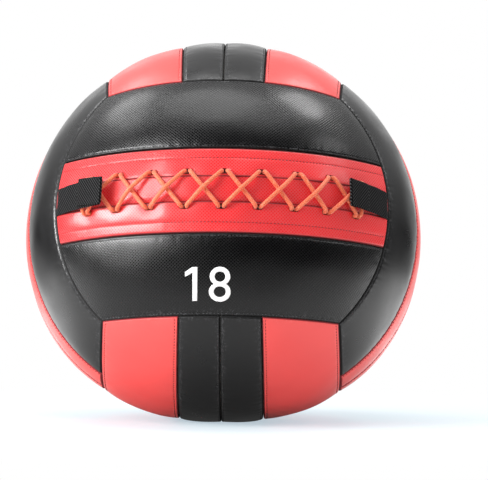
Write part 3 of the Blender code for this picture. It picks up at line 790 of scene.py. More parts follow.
@dataclass(frozen=True)
class BallForm:
    """The ball's stance, its round top, sagging lower half and flat foot, and where its seams run."""

    height: float = 0.3556
    radius: float = 0.1853
    foot_radius: float = 0.028
    foot_softness: float = 1.2 * MILLIMETRE
    lean: float = math.radians(15.4)
    seam_gap: float = 0.4 * MILLIMETRE
    edge_seam: float = math.radians(36.6)
    side_edge_seam: float = math.radians(35.1)
    strip_seam: Cut = Cut.strip(math.radians(12.3), math.radians(11.6))
    band_top: Cut = Cut.strip(math.radians(11.4), math.radians(13.2))
    band_bottom: Cut = Cut.strip(math.radians(13.0), math.radians(11.0)).mirrored()

    @property
    def lower_half(self) -> float:
        """Height of the ball's centre over its foot."""
        return self.height - self.radius

    @property
    def sag(self) -> float:
        """How far the lower half is drawn in, as a share."""
        foot_rise = self.foot_radius**2 / self.radius
        return (self.radius - self.lower_half - foot_rise / 2) / (self.radius - foot_rise * 1.5)

    @property
    def band_middle(self) -> Cut:
        """The line along the middle of the laced band."""
        return self.band_bottom.halfway(self.band_top)

    def upright(self, courses: Array) -> Array:
        """Lean courses of the ball's own frame back into the world.

        Args:
            courses: directions in the ball's frame.

        Returns:
            The same directions in the world's frame.
        """
        cos, sin = math.cos(self.lean), math.sin(self.lean)
        x, y, z = courses[..., 0], courses[..., 1], courses[..., 2]
        return np.stack((x, y * cos + z * sin, z * cos - y * sin), -1)

    def on_skin(self, courses: Array, heights: Array | float) -> Array:
        """Put points over the skin.

        Args:
            courses: their directions in the ball's frame.
            heights: their heights over the skin.

        Returns:
            The points in the world, none of them under the floor.
        """
        out = self.upright(unit(courses))
        drop = np.maximum(-out[..., 2], 0)
        out[..., 2] += self.sag * drop**3
        points = out * (self.radius + np.asarray(heights))[..., None]
        level = points[..., 2] + self.lower_half
        near = (level + self.foot_softness) ** 2 / (4 * self.foot_softness)
        soft = np.where(level > self.foot_softness, level, near)
        points[..., 2] = np.where(level < -self.foot_softness, 0, soft)
        return points

    def course(self, face: Face, side: CutLine, turn: Array, height: Array | float = 0.0) -> Array:
        """Direction of a point of a cut at an angle along a face.

        Args:
            face: the face.
            side: offset and slope of the cut, numbers or arrays.
            turn: angle along the face.
            height: height over the skin.

        Returns:
            Directions in the ball's frame.
        """
        offset, slope = side
        lean = np.tan(turn)
        bulk = 1 + lean**2 + slope**2
        half = offset * slope
        rest = offset**2 - (1 + height / self.radius) ** 2
        out = (-half + np.sqrt(half**2 - bulk * rest)) / bulk
        along_axis, across_axis, out_axis = (np.array(axis, float) for axis in face.value)
        across = (offset + slope * out)[..., None] * across_axis
        return (out * lean)[..., None] * along_axis + across + out[..., None] * out_axis

    def reach(self, side: CutLine, end: Cut) -> Array:
        """Find where cuts meet the end of a face.

        Args:
            side: offset and slope of the cuts, numbers or arrays.
            end: the cut at the end of the face.

        Returns:
            The angle along the face at which each of them meets it.
        """
        offset, slope = side
        bulk = 1 + slope**2
        a = bulk * end.slope**2 + 1
        b = bulk * end.offset * end.slope + offset * slope * end.slope
        c = bulk * end.offset**2 + 2 * offset * slope * end.offset + offset**2 - 1
        along = (-b + np.sqrt(b * b - a * c)) / a
        return np.arctan2(along, end.offset + end.slope * along)

    def end_of(self, face: Face) -> Cut:
        """The cut at the ends of a face, half a seam gap inside it."""
        beside = self.side_edge_seam if face in (Face.FRONT, Face.REAR) else self.edge_seam
        return Cut.edge(beside).moved(self.seam_gap / 2 / self.radius)

    def over_band(self, arc: float, rise: float, height: float) -> Array:
        """Put one point over the laced band.

        Args:
            arc: its place along the band.
            rise: its place across the band, over its middle.
            height: its height over the skin.

        Returns:
            The point in the world.
        """
        side = self.band_middle.moved(rise / self.radius)
        course = self.course(Face.FRONT, (side.offset, side.slope), np.array([arc / self.radius]), height)
        return self.on_skin(course, height)[0]


class Side(Enum):
    """What a side of a panel is."""

    SEWN = "sewn into a seam"
    SLIT = "the open edge along the lacing"
    LAID = "laid flat under its neighbours"


@dataclass(frozen=True)
class Edge:
    """One long side of a panel: its cut, what it is, how far in its stitches run, and its rounding."""

    cut: Cut
    side: Side = Side.SEWN
    stitch_inset: float = 3.2 * MILLIMETRE
    roll: float = 2.4 * MILLIMETRE
    depth: float = 2.6 * MILLIMETRE


@dataclass
class Panel:
    """A padded strip of the skin, between two long sides and two sewn ends."""

    form: BallForm
    node: str
    face: Face
    low: Edge
    high: Edge
    seed: int
    kind: str = "padded"
    ends_sewn: bool = True
    thickness: float = 1.5 * MILLIMETRE
    depth: float = 0.0
    crown: float = 2.0 * MILLIMETRE
    crown_run: float = 15.0 * MILLIMETRE
    stitch_dip: float = 0.45 * MILLIMETRE
    stitch_dip_width: float = 0.8 * MILLIMETRE
    pucker: float = 0.22 * MILLIMETRE
    pucker_run: float = 8.0 * MILLIMETRE
    pucker_lengths: tuple[float, ...] = (0.0085, 0.0051, 0.0147)
    unevenness: float = 0.45 * MILLIMETRE
    uneven_lengths: tuple[float, ...] = (0.11, 0.07, 0.043)
    scuff_and_shade_width: float = 4.5 * MILLIMETRE
    cell: float = 1.7 * MILLIMETRE
    wide_cell: float = 2.8 * MILLIMETRE
    near_seam: tuple[float, ...] = (0.0, 0.15, 0.45, 0.9, 1.5, 2.1, 2.6, 3.0, 3.4, 3.9, 4.6, 5.8, 7.6)
    near_end: tuple[float, ...] = (0.0, 0.15, 0.45, 0.9, 1.5, 2.2, 3.0, 4.2)
    extra_lift: Callable[[Array, Array, Array], Array] | None = None

    def stations(self, near: Sequence[float], total: float, cell: float) -> tuple[Array, Array]:
        """Where rows lie over a length: fixed near both ends, and evenly spread between.

        Args:
            near: distances from an end, in millimetres, of the rows near it.
            total: the length that sets how many rows there are.
            cell: about how far apart the others lie.

        Returns:
            For each row a distance, and a share of what is left between the rows near the ends.
        """
        close = np.array(near) * MILLIMETRE
        last = close[-1]
        cells = max(2, round((total - 2 * last) / cell))
        shares = np.arange(1, cells) / cells
        start = np.concatenate((close, np.full(cells - 1, last), 2 * last - close[::-1]))
        return start, np.concatenate((np.zeros(len(close)), shares, np.ones(len(close))))

    def side_at(self, share: Array) -> tuple[Array, Array]:
        """Find the cut at a share of the panel's width, half a seam gap inside sewn sides.

        Args:
            share: shares of the width, from the low side.

        Returns:
            Offset and slope of the cut at each.
        """
        gap = self.form.seam_gap / 2 / self.form.radius
        low = self.low.cut.moved(gap) if self.low.side is Side.SEWN else self.low.cut
        high = self.high.cut.moved(-gap) if self.high.side is Side.SEWN else self.high.cut
        return low.offset + (high.offset - low.offset) * share, low.slope + (high.slope - low.slope) * share

    def length_at(self, side: CutLine) -> tuple[Array, Array]:
        """Measure the panel along cuts.

        Args:
            side: offset and slope of the cuts.

        Returns:
            The panel's length along each of them, and the radius at which they run.
        """
        flat = self.form.course(self.face, side, np.zeros_like(side[0]))
        across = flat @ np.array(self.face.value[1], float)
        radius = self.form.radius * np.sqrt(1 - across**2)
        return 2 * radius * self.form.reach(side, self.form.end_of(self.face)), radius

    def columns(self) -> tuple[Array, Array, Array]:
        """Find where the columns of the panel's grid lie.

        Returns:
            Stations along the panel, and its width at each of them.
        """
        (length,), (radius,) = self.length_at(self.side_at(np.array([0.5])))
        start, share = self.stations(self.near_end, length, self.cell)
        along = start + share * (length - 2 * self.near_end[-1] * MILLIMETRE)
        turn = (along - length / 2) / radius
        low, high = (
            self.form.course(self.face, self.side_at(np.full(len(turn), part)), turn) for part in (0.0, 1.0)
        )
        return start, share, self.form.radius * np.arccos(np.clip((low * high).sum(-1), -1, 1))

    def lift(
        self, from_low: Array, from_high: Array, from_start: Array, from_end: Array,
        courses: Array, arc: Array,
    ) -> Array:
        """Height over the skin of points of the panel.

        Args:
            from_low, from_high: distances from both long sides.
            from_start, from_end: distances from both ends.
            courses: directions of the points.
            arc: places along the panel, from its middle.

        Returns:
            Heights, below zero in the seams.
        """
        height = np.zeros_like(from_low)
        padding = np.ones_like(from_low)
        borders = [(self.low, from_low, arc), (self.high, from_high, arc)]
        if self.ends_sewn:
            end = Edge(self.form.end_of(self.face))
            borders += [(end, from_start, from_low), (end, from_end, from_low)]
        for count, (edge, distance, position) in enumerate(borders):
            if edge.side is Side.LAID:
                continue
            inside = np.clip(1 - distance / edge.roll, 0, 1)
            fall = 1 - np.sqrt(1 - inside**2) if edge.side is Side.SEWN else inside**2
            height = np.minimum(height, -edge.depth * fall)
            if edge.side is Side.SLIT:
                continue
            if edge is self.low or edge is self.high:
                beside = (distance - edge.stitch_inset) / self.stitch_dip_width
                height -= self.stitch_dip * np.exp(-(beside**2))
            padding *= 1 - np.exp(-np.clip(distance - edge.stitch_inset, 0, None) / self.crown_run)
            start = self.seed * SEEDS_OF_EACH_PANEL + count
            ripple = waves(position[..., None], self.pucker_lengths, start)
            fade = np.exp(-((distance / self.pucker_run) ** 2)) * (1 - np.exp(-((distance / edge.roll) ** 2)))
            height += self.pucker * fade * ripple
        height += self.crown * padding
        lumps = waves(courses * self.form.radius, self.uneven_lengths, self.seed)
        height += self.unevenness * padding * lumps
        if self.extra_lift:
            height += self.extra_lift(from_low, from_high, arc)
        return height - self.depth

    def lay_out(self, across: Array, start: Array, share: Array, width: Array) -> tuple[Array, ...]:
        """Points of the panel at distances across it, for all its columns.

        Args:
            across: distances from the low side, one row for each line along the panel.
            start, share: stations along the panel.
            width: its width at each of them.

        Returns:
            World points, directions, places along and distances from the start and the end.
        """
        side = self.side_at(across / width)
        length, radius = self.length_at(side)
        along = start + share * (length - 2 * self.near_end[-1] * MILLIMETRE)
        turn = (along - length / 2) / radius
        arc = along - length / 2
        courses = self.form.course(self.face, side, turn)
        height = self.lift(across, width - across, along, length - along, courses, arc)
        courses = self.form.course(self.face, side, turn, height)
        return self.form.on_skin(courses, height), courses, arc, along, length - along

    def build(self) -> Piece:
        """Model the panel: a flat sheet wrapped on to the ball and given its thickness.

        Returns:
            The piece, not yet dressed.
        """
        start, share, width = self.columns()
        row_start, row_share = self.stations(self.near_seam, float(width.max()), self.wide_cell)
        last = self.near_seam[-1] * MILLIMETRE
        across = row_start[:, None] + row_share[:, None] * (width - 2 * last)
        points, _, arc, from_start, from_end = self.lay_out(across, start, share, width)
        deselect()
        bpy.ops.mesh.primitive_grid_add(
            x_subdivisions=len(start) - 1, y_subdivisions=len(row_start) - 1, size=1
        )
        piece = take_new(f"{self.node}_{self.kind}")
        flat = get_vectors(piece) + 0.5
        column = np.rint(flat[:, 0] * (len(start) - 1)).astype(int)
        row = np.rint(flat[:, 1] * (len(row_start) - 1)).astype(int)
        set_places(piece, points[row, column])
        set_uv(piece, np.stack((arc, across - width / 2), -1)[row, column])
        # Closeness to the nearest seam, kept as the seam attribute: it places the scuffs and the painted
        # shade by the seams.
        nearest = np.minimum(np.minimum(across, width - across), np.minimum(from_start, from_end))
        closeness = np.exp(-((nearest / self.scuff_and_shade_width) ** 2))
        seam = piece.data.attributes.new("seam", "FLOAT", "POINT")
        seam.data.foreach_set("value", closeness[row, column].astype(np.float32))
        if self.face.turns_over():
            piece.data.flip_normals()
        apply_modifier(piece, "SOLIDIFY", thickness=self.thickness, offset=-1.0)
        return piece

    def stitch_line(self, from_high: bool) -> tuple[Array, Array, Array]:
        """The line on which stitches lie along one long side.

        Args:
            from_high: whether it is the high side.

        Returns:
            Points along the line, outward normals, and distances from the nearer end.
        """
        start, share, width = self.columns()
        inset = (self.high if from_high else self.low).stitch_inset
        across = (width - inset if from_high else np.full_like(width, inset))[None, :]
        points, courses, _, from_start, from_end = self.lay_out(across, start, share, width)
        return points[0], self.form.upright(unit(courses[0])), np.minimum(from_start, from_end)[0]


@dataclass
class Stitching:
    """Rows of sewing thread: one stitch is modelled, and laid again and again along each line."""

    name: str
    pitch: float = 3.3 * MILLIMETRE
    length: float = 2.5 * MILLIMETRE
    thread_radius: float = 0.34 * MILLIMETRE
    thread_sides: int = 6
    end_narrowing: float = 0.6
    rise: float = 0.12 * MILLIMETRE
    end_dip: float = 0.55 * MILLIMETRE
    end_margin: float = 2.5 * MILLIMETRE
    off_floor: float = 0.05 * MILLIMETRE
    lines: list[tuple[Array, Array, Array]] = field(default_factory=list)

    def model_stitch(self) -> tuple[Array, Faces]:
        """Model one stitch along X over the skin, its ends pulled down into their holes.

        Returns:
            Its points and its faces.
        """
        deselect()
        bpy.ops.mesh.primitive_cylinder_add(
            vertices=self.thread_sides, radius=self.thread_radius, depth=self.length,
            rotation=(0, math.pi / 2, 0),
        )
        piece = take_new("one_stitch")
        bpy.ops.object.transform_apply(location=False, rotation=True, scale=False)
        bpy.ops.object.mode_set(mode="EDIT")
        cut_across(np.array((-self.length / 5, self.length / 5)), 0)
        bpy.ops.object.mode_set(mode="OBJECT")
        places = get_vectors(piece)
        end = np.abs(places[:, 0]) > self.length / 3
        places[end, 1:] *= self.end_narrowing
        places[:, 2] += np.where(end, -self.end_dip, self.rise)
        faces = [tuple(face.vertices) for face in piece.data.polygons]
        bpy.data.objects.remove(piece)
        return places, faces

    def build(self) -> Piece:
        """Lay the stitches along all the lines.

        Returns:
            One piece of them all, not yet dressed.
        """
        stitch, faces = self.model_stitch()
        laid = []
        for line, outward, margin in self.lines:
            reached = distances(line)
            places = np.arange(self.pitch / 2, reached[-1], self.pitch)
            places = places[np.interp(places, reached, margin) > self.end_margin]
            here = read_off(places, reached, line)
            onwards = unit(read_off(places + self.pitch / 4, reached, line) - here)
            sideways = unit(np.cross(read_off(places, reached, outward), onwards))
            frames = np.stack((onwards, sideways, np.cross(onwards, sideways)), 1)
            spots = stitch @ frames + here[:, None]
            spots[..., 2] += np.maximum(self.off_floor - spots[..., 2].min(1, keepdims=True), 0)
            laid.append(spots)
        points = np.concatenate(laid)
        LOG.info("%s has %d stitches", self.name, len(points))
        starts = range(0, points.shape[0] * points.shape[1], len(stitch))
        corners = [tuple(start + corner for corner in face) for start in starts for face in faces]
        return add_mesh(self.name, points.reshape(-1, 3), corners)


@dataclass
class Skin:
    """All the plain panels of the skin and the stitches along their seams."""

    form: BallForm
    finishes: dict[str, Material]
    red_inset: float = 3.2 * MILLIMETRE
    black_inset: float = 2.3 * MILLIMETRE
    middle_inset: float = 1.9 * MILLIMETRE
    # Reach of the scuffs and of the painted shade by the seams, on most faces and on the side faces.
    scuff: float = 4.5 * MILLIMETRE
    beside_scuff_and_shade: float = 7.0 * MILLIMETRE
    fill: float = 0.8

    def strips(self) -> list[tuple[Panel, str]]:
        """Plan the four strips of each of the five faces that have no lacing.

        Returns:
            Panels, each with the name of its finish.
        """
        fine = {"stitch_inset": self.middle_inset, "roll": 1.6 * MILLIMETRE, "depth": 1.8 * MILLIMETRE}
        seam, middle = self.form.strip_seam, Cut(0.0, 0.0)
        halves = {
            Face.REAR: ("lower", "upper"), Face.TOP: ("left", "right"), Face.BOTTOM: ("left", "right"),
            Face.LEFT: ("front", "rear"), Face.RIGHT: ("front", "rear"),
        }
        strips = []
        for face, (low, high) in halves.items():
            beside = face in (Face.LEFT, Face.RIGHT)
            edge = Cut.edge(self.form.side_edge_seam if beside else self.form.edge_seam)
            rounding = {"roll": 3.2 * MILLIMETRE, "depth": 3.0 * MILLIMETRE} if beside else {}
            cuts = (edge.mirrored(), seam.mirrored(), middle, seam, edge)
            parts = (f"{low}_outer", f"{low}_inner", f"{high}_inner", f"{high}_outer")
            for part, *sides in zip(parts, cuts, cuts[1:]):
                red = part.endswith("inner") != (face in (Face.TOP, Face.BOTTOM))
                plain = {"stitch_inset": self.red_inset if red else self.black_inset, **rounding}
                edges = [Edge(cut, **(fine if cut is middle and not red else plain)) for cut in sides]
                panel = Panel(
                    self.form, f"{face.name.lower()}_{part}_panel", face, *edges, seed=len(strips) + 1,
                    scuff_and_shade_width=self.beside_scuff_and_shade if beside else self.scuff,
                )
                strips.append((panel, "red_vinyl" if red else "black_vinyl"))
        return strips

    def front_strips(self) -> list[tuple[Panel, str]]:
        """Plan the black strips above and below the laced band.

        Returns:
            Panels, each with the name of its finish.
        """
        edge = Cut.edge(self.form.edge_seam)
        under, bottom, top, over = (
            Edge(cut, stitch_inset=self.black_inset)
            for cut in (edge.mirrored(), self.form.band_bottom, self.form.band_top, edge)
        )
        upper = Panel(self.form, "front_upper_panel", Face.FRONT, top, over, seed=31)
        lower = Panel(self.form, "front_lower_panel", Face.FRONT, under, bottom, seed=32)
        return [(upper, "black_vinyl_embossed"), (lower, "black_vinyl_embossed")]

    def build(self) -> None:
        """Model and dress the panels and their stitches."""
        rows = {"red_vinyl": Stitching("red_stitching"), "black_vinyl": Stitching("black_stitching")}
        for panel, finish in (*self.strips(), *self.front_strips()):
            slot = finish.removesuffix("_embossed")
            finish_piece(panel.build(), self.finishes[finish], slot, node=panel.node, fill=self.fill)
            rows[slot].lines += [panel.stitch_line(False), panel.stitch_line(True)]
        for (slot, row), thread in zip(rows.items(), ("red_thread", "grey_thread")):
            finish_piece(row.build(), self.finishes[thread], slot)


@dataclass(frozen=True)
class Swell:
    """How a sheet rises past its covered edge: a quick step, and then a slow swell."""

    step: float
    step_run: float
    rise: float
    rise_run: float

    def height(self, past: Array) -> Array:
        """Heights at distances past the edge."""
        step = self.step * np.clip(past / self.step_run, 0, 1)
        return step + self.rise * np.sin(np.clip(past / self.rise_run, 0, 1) * math.pi / 2)


@dataclass
class LacedBand:
    """The band across the front: two flaps with rows of holes, their facings, and the tongue."""

    form: BallForm
    finishes: dict[str, Material]
    upper_edge: float = 12.0 * MILLIMETRE
    lower_edge: float = -11.0 * MILLIMETRE
    upper_row: float = 17.1 * MILLIMETRE
    lower_row: float = -15.3 * MILLIMETRE
    pairs: int = 9
    pitch: float = 33.3 * MILLIMETRE
    upper_shift: float = 2.8 * MILLIMETRE
    cord_radius: float = 2.2 * MILLIMETRE
    cord_gap: float = 0.4 * MILLIMETRE
    hole_clearance: float = 0.3 * MILLIMETRE
    hole_steps: int = 8
    cutter_heights: tuple[float, float] = (6.0 * MILLIMETRE, -8.0 * MILLIMETRE)
    stitch_inset: float = 9.5 * MILLIMETRE
    facing_width: float = 16.0 * MILLIMETRE
    facing_depth: float = 1.8 * MILLIMETRE
    facing_thickness: float = 1.2 * MILLIMETRE
    set_back: float = 2.5 * MILLIMETRE
    lap: float = 1.5 * MILLIMETRE
    tongue_depth: float = 3.3 * MILLIMETRE
    tongue_thickness: float = 1.5 * MILLIMETRE
    hollow: float = 1.6 * MILLIMETRE
    hollow_width: float = 9.5 * MILLIMETRE
    hollow_run: float = 18.0 * MILLIMETRE
    hollow_fade: float = 1.6
    low_swell: Swell = Swell(1.1 * MILLIMETRE, 0.4 * MILLIMETRE, 1.6 * MILLIMETRE, 7.0 * MILLIMETRE)
    high_swell: Swell = Swell(2.7 * MILLIMETRE, 0.25 * MILLIMETRE, 0.3 * MILLIMETRE, 4.0 * MILLIMETRE)
    lump: float = 0.3 * MILLIMETRE
    lump_run: float = 5.0 * MILLIMETRE
    lump_lengths: tuple[float, ...] = (0.034, 0.021)
    lump_seed: int = 47
    sheet_seed: int = 43
    near_flap: tuple[float, ...] = (
        0.0, 0.15, 0.45, 0.9, 1.5, 2.2, 3.0, 4.0, 5.0, 6.0, 7.0, 7.8, 8.5, 9.1, 9.5, 9.9, 10.5
    )
    near_lap: tuple[float, ...] = (0.0, 0.7, 1.4, 1.55, 1.75, 2.1, 2.6, 3.2, 4.0, 5.0, 6.2)
    fill: float = 0.7

    def arc_of(self, pair: int, row: float) -> float:
        """Place of a hole along the band; the upper row sits a little to the right."""
        shift = self.upper_shift if row == self.upper_row else 0.0
        return (pair - (self.pairs - 1) / 2) * self.pitch + shift

    @property
    def cord_offset(self) -> float:
        """Distance of each of the two cords from the middle of their hole."""
        return self.cord_radius + self.cord_gap / 2

    def edge_at(self, rise: float, side: Side, **rounding: float) -> Edge:
        """A side that runs along the band at a distance over its middle."""
        return Edge(self.form.band_middle.moved(rise / self.form.radius), side, **rounding)

    def pull(self, row: float, set_back: float = 0.0) -> Callable[[Array, Array, Array], Array]:
        """Hollows in a layer where the lace draws it in at each hole of a row.

        Args:
            row: the row's place over the middle of the band.
            set_back: how far the layer's own edge lies behind the slit.

        Returns:
            Heights of zero or less, from distances to both long sides and the place along the band.
        """

        def sink(from_low: Array, from_high: Array, arc: Array) -> Array:
            """Depth of the hollows at some places of the layer.

            Args:
                from_low, from_high: distances from both long sides.
                arc: places along the band.

            Returns:
                Heights of zero or less.
            """
            from_slit = set_back + (from_low if row == self.upper_row else from_high)
            spread = self.hollow_width * (1 + from_slit / self.hollow_run)
            fade = np.exp(-((from_slit / self.hollow_run / self.hollow_fade) ** 2))
            total = np.zeros_like(arc)
            for pair in range(self.pairs):
                total += np.exp(-(((arc - self.arc_of(pair, row)) / spread) ** 2)) * fade
            return -self.hollow * total

        return sink

    def bulge(self, from_low: Array, from_high: Array, arc: Array) -> Array:
        """How far the tongue swells up into the slit, close under the upper flap and lower at the other.

        Args:
            from_low, from_high: distances from both long sides.
            arc: places along the band.

        Returns:
            Heights over the tongue's own level.
        """
        past_low, past_high = from_low - self.lap, from_high - self.lap
        inner = np.clip(np.minimum(past_low, past_high) / self.lump_run, 0, 1)
        lumps = self.lump * waves(arc[..., None], self.lump_lengths, self.lump_seed) * inner
        return np.minimum(self.low_swell.height(past_low), self.high_swell.height(past_high)) + lumps

    def punch(self, piece: Piece, row: float) -> None:
        """Cut a row of lace holes, each wide enough for two cords, through a layer.

        Args:
            piece: the layer.
            row: the row's place over the middle of the band.
        """
        half_height = self.cord_radius + self.hole_clearance
        angles = [math.pi * (step / self.hole_steps - 0.5) for step in range(self.hole_steps + 1)]
        rim = [
            (side * (self.cord_offset + half_height * math.cos(angle)), side * half_height * math.sin(angle))
            for side in (1, -1)
            for angle in angles
        ]
        points, faces = [], []
        for pair in range(self.pairs):
            middle = self.arc_of(pair, row)
            faces += tube_faces(2, len(rim), len(points))
            for height in self.cutter_heights:
                points += [self.form.over_band(middle + arc, row + rise, height) for arc, rise in rim]
        cutter = add_mesh("hole_cutter", np.array(points), faces)
        face_outwards(cutter)
        apply_modifier(piece, "BOOLEAN", operation="DIFFERENCE", solver="EXACT", object=cutter)
        bpy.data.objects.remove(cutter)

    def flaps(self) -> None:
        """Model and dress the flaps, and the stitches along them."""
        top = Edge(self.form.band_top, stitch_inset=self.stitch_inset)
        bottom = Edge(self.form.band_bottom, stitch_inset=self.stitch_inset)
        over = self.edge_at(self.upper_edge, Side.SLIT, roll=3.2 * MILLIMETRE, depth=0.5 * MILLIMETRE)
        under = self.edge_at(self.lower_edge, Side.SLIT, roll=0.9 * MILLIMETRE, depth=0.5 * MILLIMETRE)
        rows = Stitching("band_stitching")
        for node, low, high, row, seed in (
            ("lace_flap_upper", over, top, self.upper_row, 41),
            ("lace_flap_lower", bottom, under, self.lower_row, 42),
        ):
            panel = Panel(
                self.form, node, Face.FRONT, low, high, seed, near_seam=self.near_flap,
                wide_cell=2.0 * MILLIMETRE, extra_lift=self.pull(row), crown=0.5 * MILLIMETRE,
                crown_run=6.0 * MILLIMETRE, unevenness=0.55 * MILLIMETRE,
                uneven_lengths=(0.075, 0.042, 0.026), stitch_dip=0.25 * MILLIMETRE,
            )
            piece = panel.build()
            rows.lines.append(panel.stitch_line(high is top))
            self.punch(piece, row)
            finish_piece(piece, self.finishes["red_vinyl_embossed"], "red_vinyl", node=node, fill=self.fill)
        finish_piece(rows.build(), self.finishes["red_thread"], "red_vinyl")

    def sheet(self, node: str, low: float, high: float, row: float | None) -> None:
        """Model and dress a sheet behind the flaps.

        Args:
            node: the node that it stands for.
            low, high: places of its long sides over the middle of the band.
            row: place of a facing's row of holes, or nothing for the tongue.
        """
        tongue = row is None
        panel = Panel(
            self.form, node, Face.FRONT, self.edge_at(low, Side.LAID), self.edge_at(high, Side.LAID),
            self.sheet_seed, kind="sewn", ends_sewn=False, crown=0.0, unevenness=0.0,
            wide_cell=2.0 * MILLIMETRE,
            thickness=self.tongue_thickness if tongue else self.facing_thickness,
            depth=self.tongue_depth if tongue else self.facing_depth, near_seam=self.near_lap,
            extra_lift=self.bulge if tongue else self.pull(row, self.set_back),
        )
        piece = panel.build()
        if not tongue:
            self.punch(piece, row)
        finish, slot = ("red_vinyl_embossed", "red_vinyl") if tongue else ("facing_webbing", "webbing")
        finish_piece(piece, self.finishes[finish], slot, node=node)

    def build(self) -> None:
        """Model and dress the flaps, the facings and the tongue."""
        upper, lower = self.upper_edge, self.lower_edge
        self.flaps()
        self.sheet("lace_facing_upper", upper + self.set_back, upper + self.facing_width, self.upper_row)
        self.sheet("lace_facing_lower", lower - self.facing_width, lower - self.set_back, self.lower_row)
        self.sheet("lace_tongue", lower - self.lap, upper + self.lap, None)


@dataclass
class Lace:
    """The braided lace, crossed over the slit from hole to hole, its ends knotted behind the band."""

    band: LacedBand
    finish: Material
    bend: float = 3.0 * MILLIMETRE
    bend_steps: int = 4
    bend_room: float = 1.5
    run_steps: int = 12
    low: float = 2.6 * MILLIMETRE
    behind_gap: float = 0.8 * MILLIMETRE
    knot_radius: float = 4.0 * MILLIMETRE
    knot_length: float = 12.0 * MILLIMETRE
    knot_gap: float = 0.3 * MILLIMETRE
    knot_turns: int = 3
    knot_sides: int = 10
    knot_steps: int = 60
    ring_step: float = 0.5 * MILLIMETRE
    ring_sides: int = 24
    strand_pitch: float = 4.4 * MILLIMETRE
    strand_pairs: int = 3
    relief: float = 0.16 * MILLIMETRE
    tautness: float = 0.25 * MILLIMETRE

    def run(
        self, start: Sequence[float], finish: Sequence[float], end_height: float, middle_height: float,
        bends: tuple[bool, bool] = (True, True),
    ) -> list[tuple[float, ...]]:
        """Points of one run between two holes, as (arc, rise, height).

        Args:
            start, finish: (arc, rise) of the two cord places.
            end_height: height of the cord's middle line at its bends; below zero behind the band.
            middle_height: its height half way.
            bends: whether the run has its first and its last bend.

        Returns:
            The points in order.
        """
        start, finish = np.array(start), np.array(finish)
        span = finish - start
        length = np.linalg.norm(span)
        ahead = span / length
        sign = math.copysign(1, end_height)
        angles = [math.pi / 2 * step / self.bend_steps for step in range(self.bend_steps + 1)]
        bend = [
            (self.bend * (1 - math.cos(angle)), end_height - sign * self.bend * (1 - math.sin(angle)))
            for angle in angles
        ]
        room = self.bend_room * self.bend
        points = []
        if bends[0]:
            points += [(*(start + ahead * step), height) for step, height in bend]
        for share in np.linspace(0, 1, self.run_steps + 1)[1:-1]:
            if room < share * length < length - room:
                swell = math.sin(math.pi * share) ** 2
                points.append((*(start + span * share), end_height + (middle_height - end_height) * swell))
        if bends[1]:
            points += [(*(finish - ahead * step), height) for step, height in reversed(bend)]
        return points

    def cord_place(self, pair: int, row: float, side: int) -> tuple[float, float]:
        """(arc, rise) of one of the two cords in a hole; side is -1 for the left and 1 for the right."""
        return self.band.arc_of(pair, row) + side * self.band.cord_offset, row

    def route(self) -> Array:
        """Thread the lace from the knot round all the holes and back.

        Returns:
            Points of its middle line in the world.
        """
        band, place = self.band, self.cord_place
        cord = 2 * band.cord_radius + band.cord_gap
        over = self.low + cord
        shallow = -(band.tongue_depth + band.tongue_thickness + self.behind_gap + band.cord_radius)
        deep = shallow - cord
        knot_height = deep - (self.knot_radius - band.cord_radius) - band.cord_gap
        last = band.pairs - 1
        left, right = -1, 1
        high_row, low_row = band.upper_row, band.lower_row
        upper_end, lower_end = place(last, high_row, right), place(last, low_row, left)
        middle = (np.array(upper_end) + np.array(lower_end)) / 2
        half = unit(np.array(lower_end) - np.array(upper_end)) * (self.knot_length / 2 + self.knot_gap)
        points = [(*(middle + half), knot_height)]
        points += self.run(middle + half, lower_end, knot_height, knot_height, (False, True))
        for pair in range(last, 0, -1):
            high_hole = place(pair - 1, high_row, right)
            points += self.run(place(pair, low_row, left), high_hole, self.bend, self.low)
            points += self.run(high_hole, place(pair - 1, low_row, left), deep, deep)
        points += self.run(place(0, low_row, left), place(0, high_row, left), self.bend, self.bend)
        for pair in range(last + 1):
            low_hole = place(pair, low_row, right)
            points += self.run(place(pair, high_row, left), low_hole, shallow, shallow)
            if pair < last:
                points += self.run(low_hole, place(pair + 1, high_row, left), self.bend, over)
        points += self.run(place(last, low_row, right), upper_end, self.bend, self.bend)
        points += self.run(upper_end, middle - half, knot_height, knot_height, (True, False))
        points.append((*(middle - half), knot_height))
        return np.array([band.form.over_band(*point) for point in points])

    def even_route(self) -> Array:
        """Space the points of the route evenly and ease its corners.

        Returns:
            The new points.
        """
        route = self.route()
        apart = np.linalg.norm(np.diff(route, axis=0), axis=1) > MERGE_DISTANCE
        route = route[np.concatenate(([True], apart))]
        for _ in range(2):
            reached = distances(route)
            places = np.linspace(0, reached[-1], round(reached[-1] / self.ring_step))
            route = read_off(places, reached, route)
            for _ in range(2):
                route[1:-1] = (route[:-2] + 2 * route[1:-1] + route[2:]) / 4
        return route

    def dress(self, name: str, rings: Array, node: str, flat: Array | None = None) -> None:
        """Close a tube and dress it.

        Args:
            name: the piece's name.
            rings: the tube's points, ring after ring.
            node: the node that it stands for.
            flat: place of each point on flat cloth, where its finish needs them.
        """
        piece = add_mesh(name, rings.reshape(-1, 3), tube_faces(*rings.shape[:2]))
        if flat is not None:
            set_uv(piece, flat)
        face_outwards(piece)
        finish_piece(piece, self.finish, "lace", node=node)

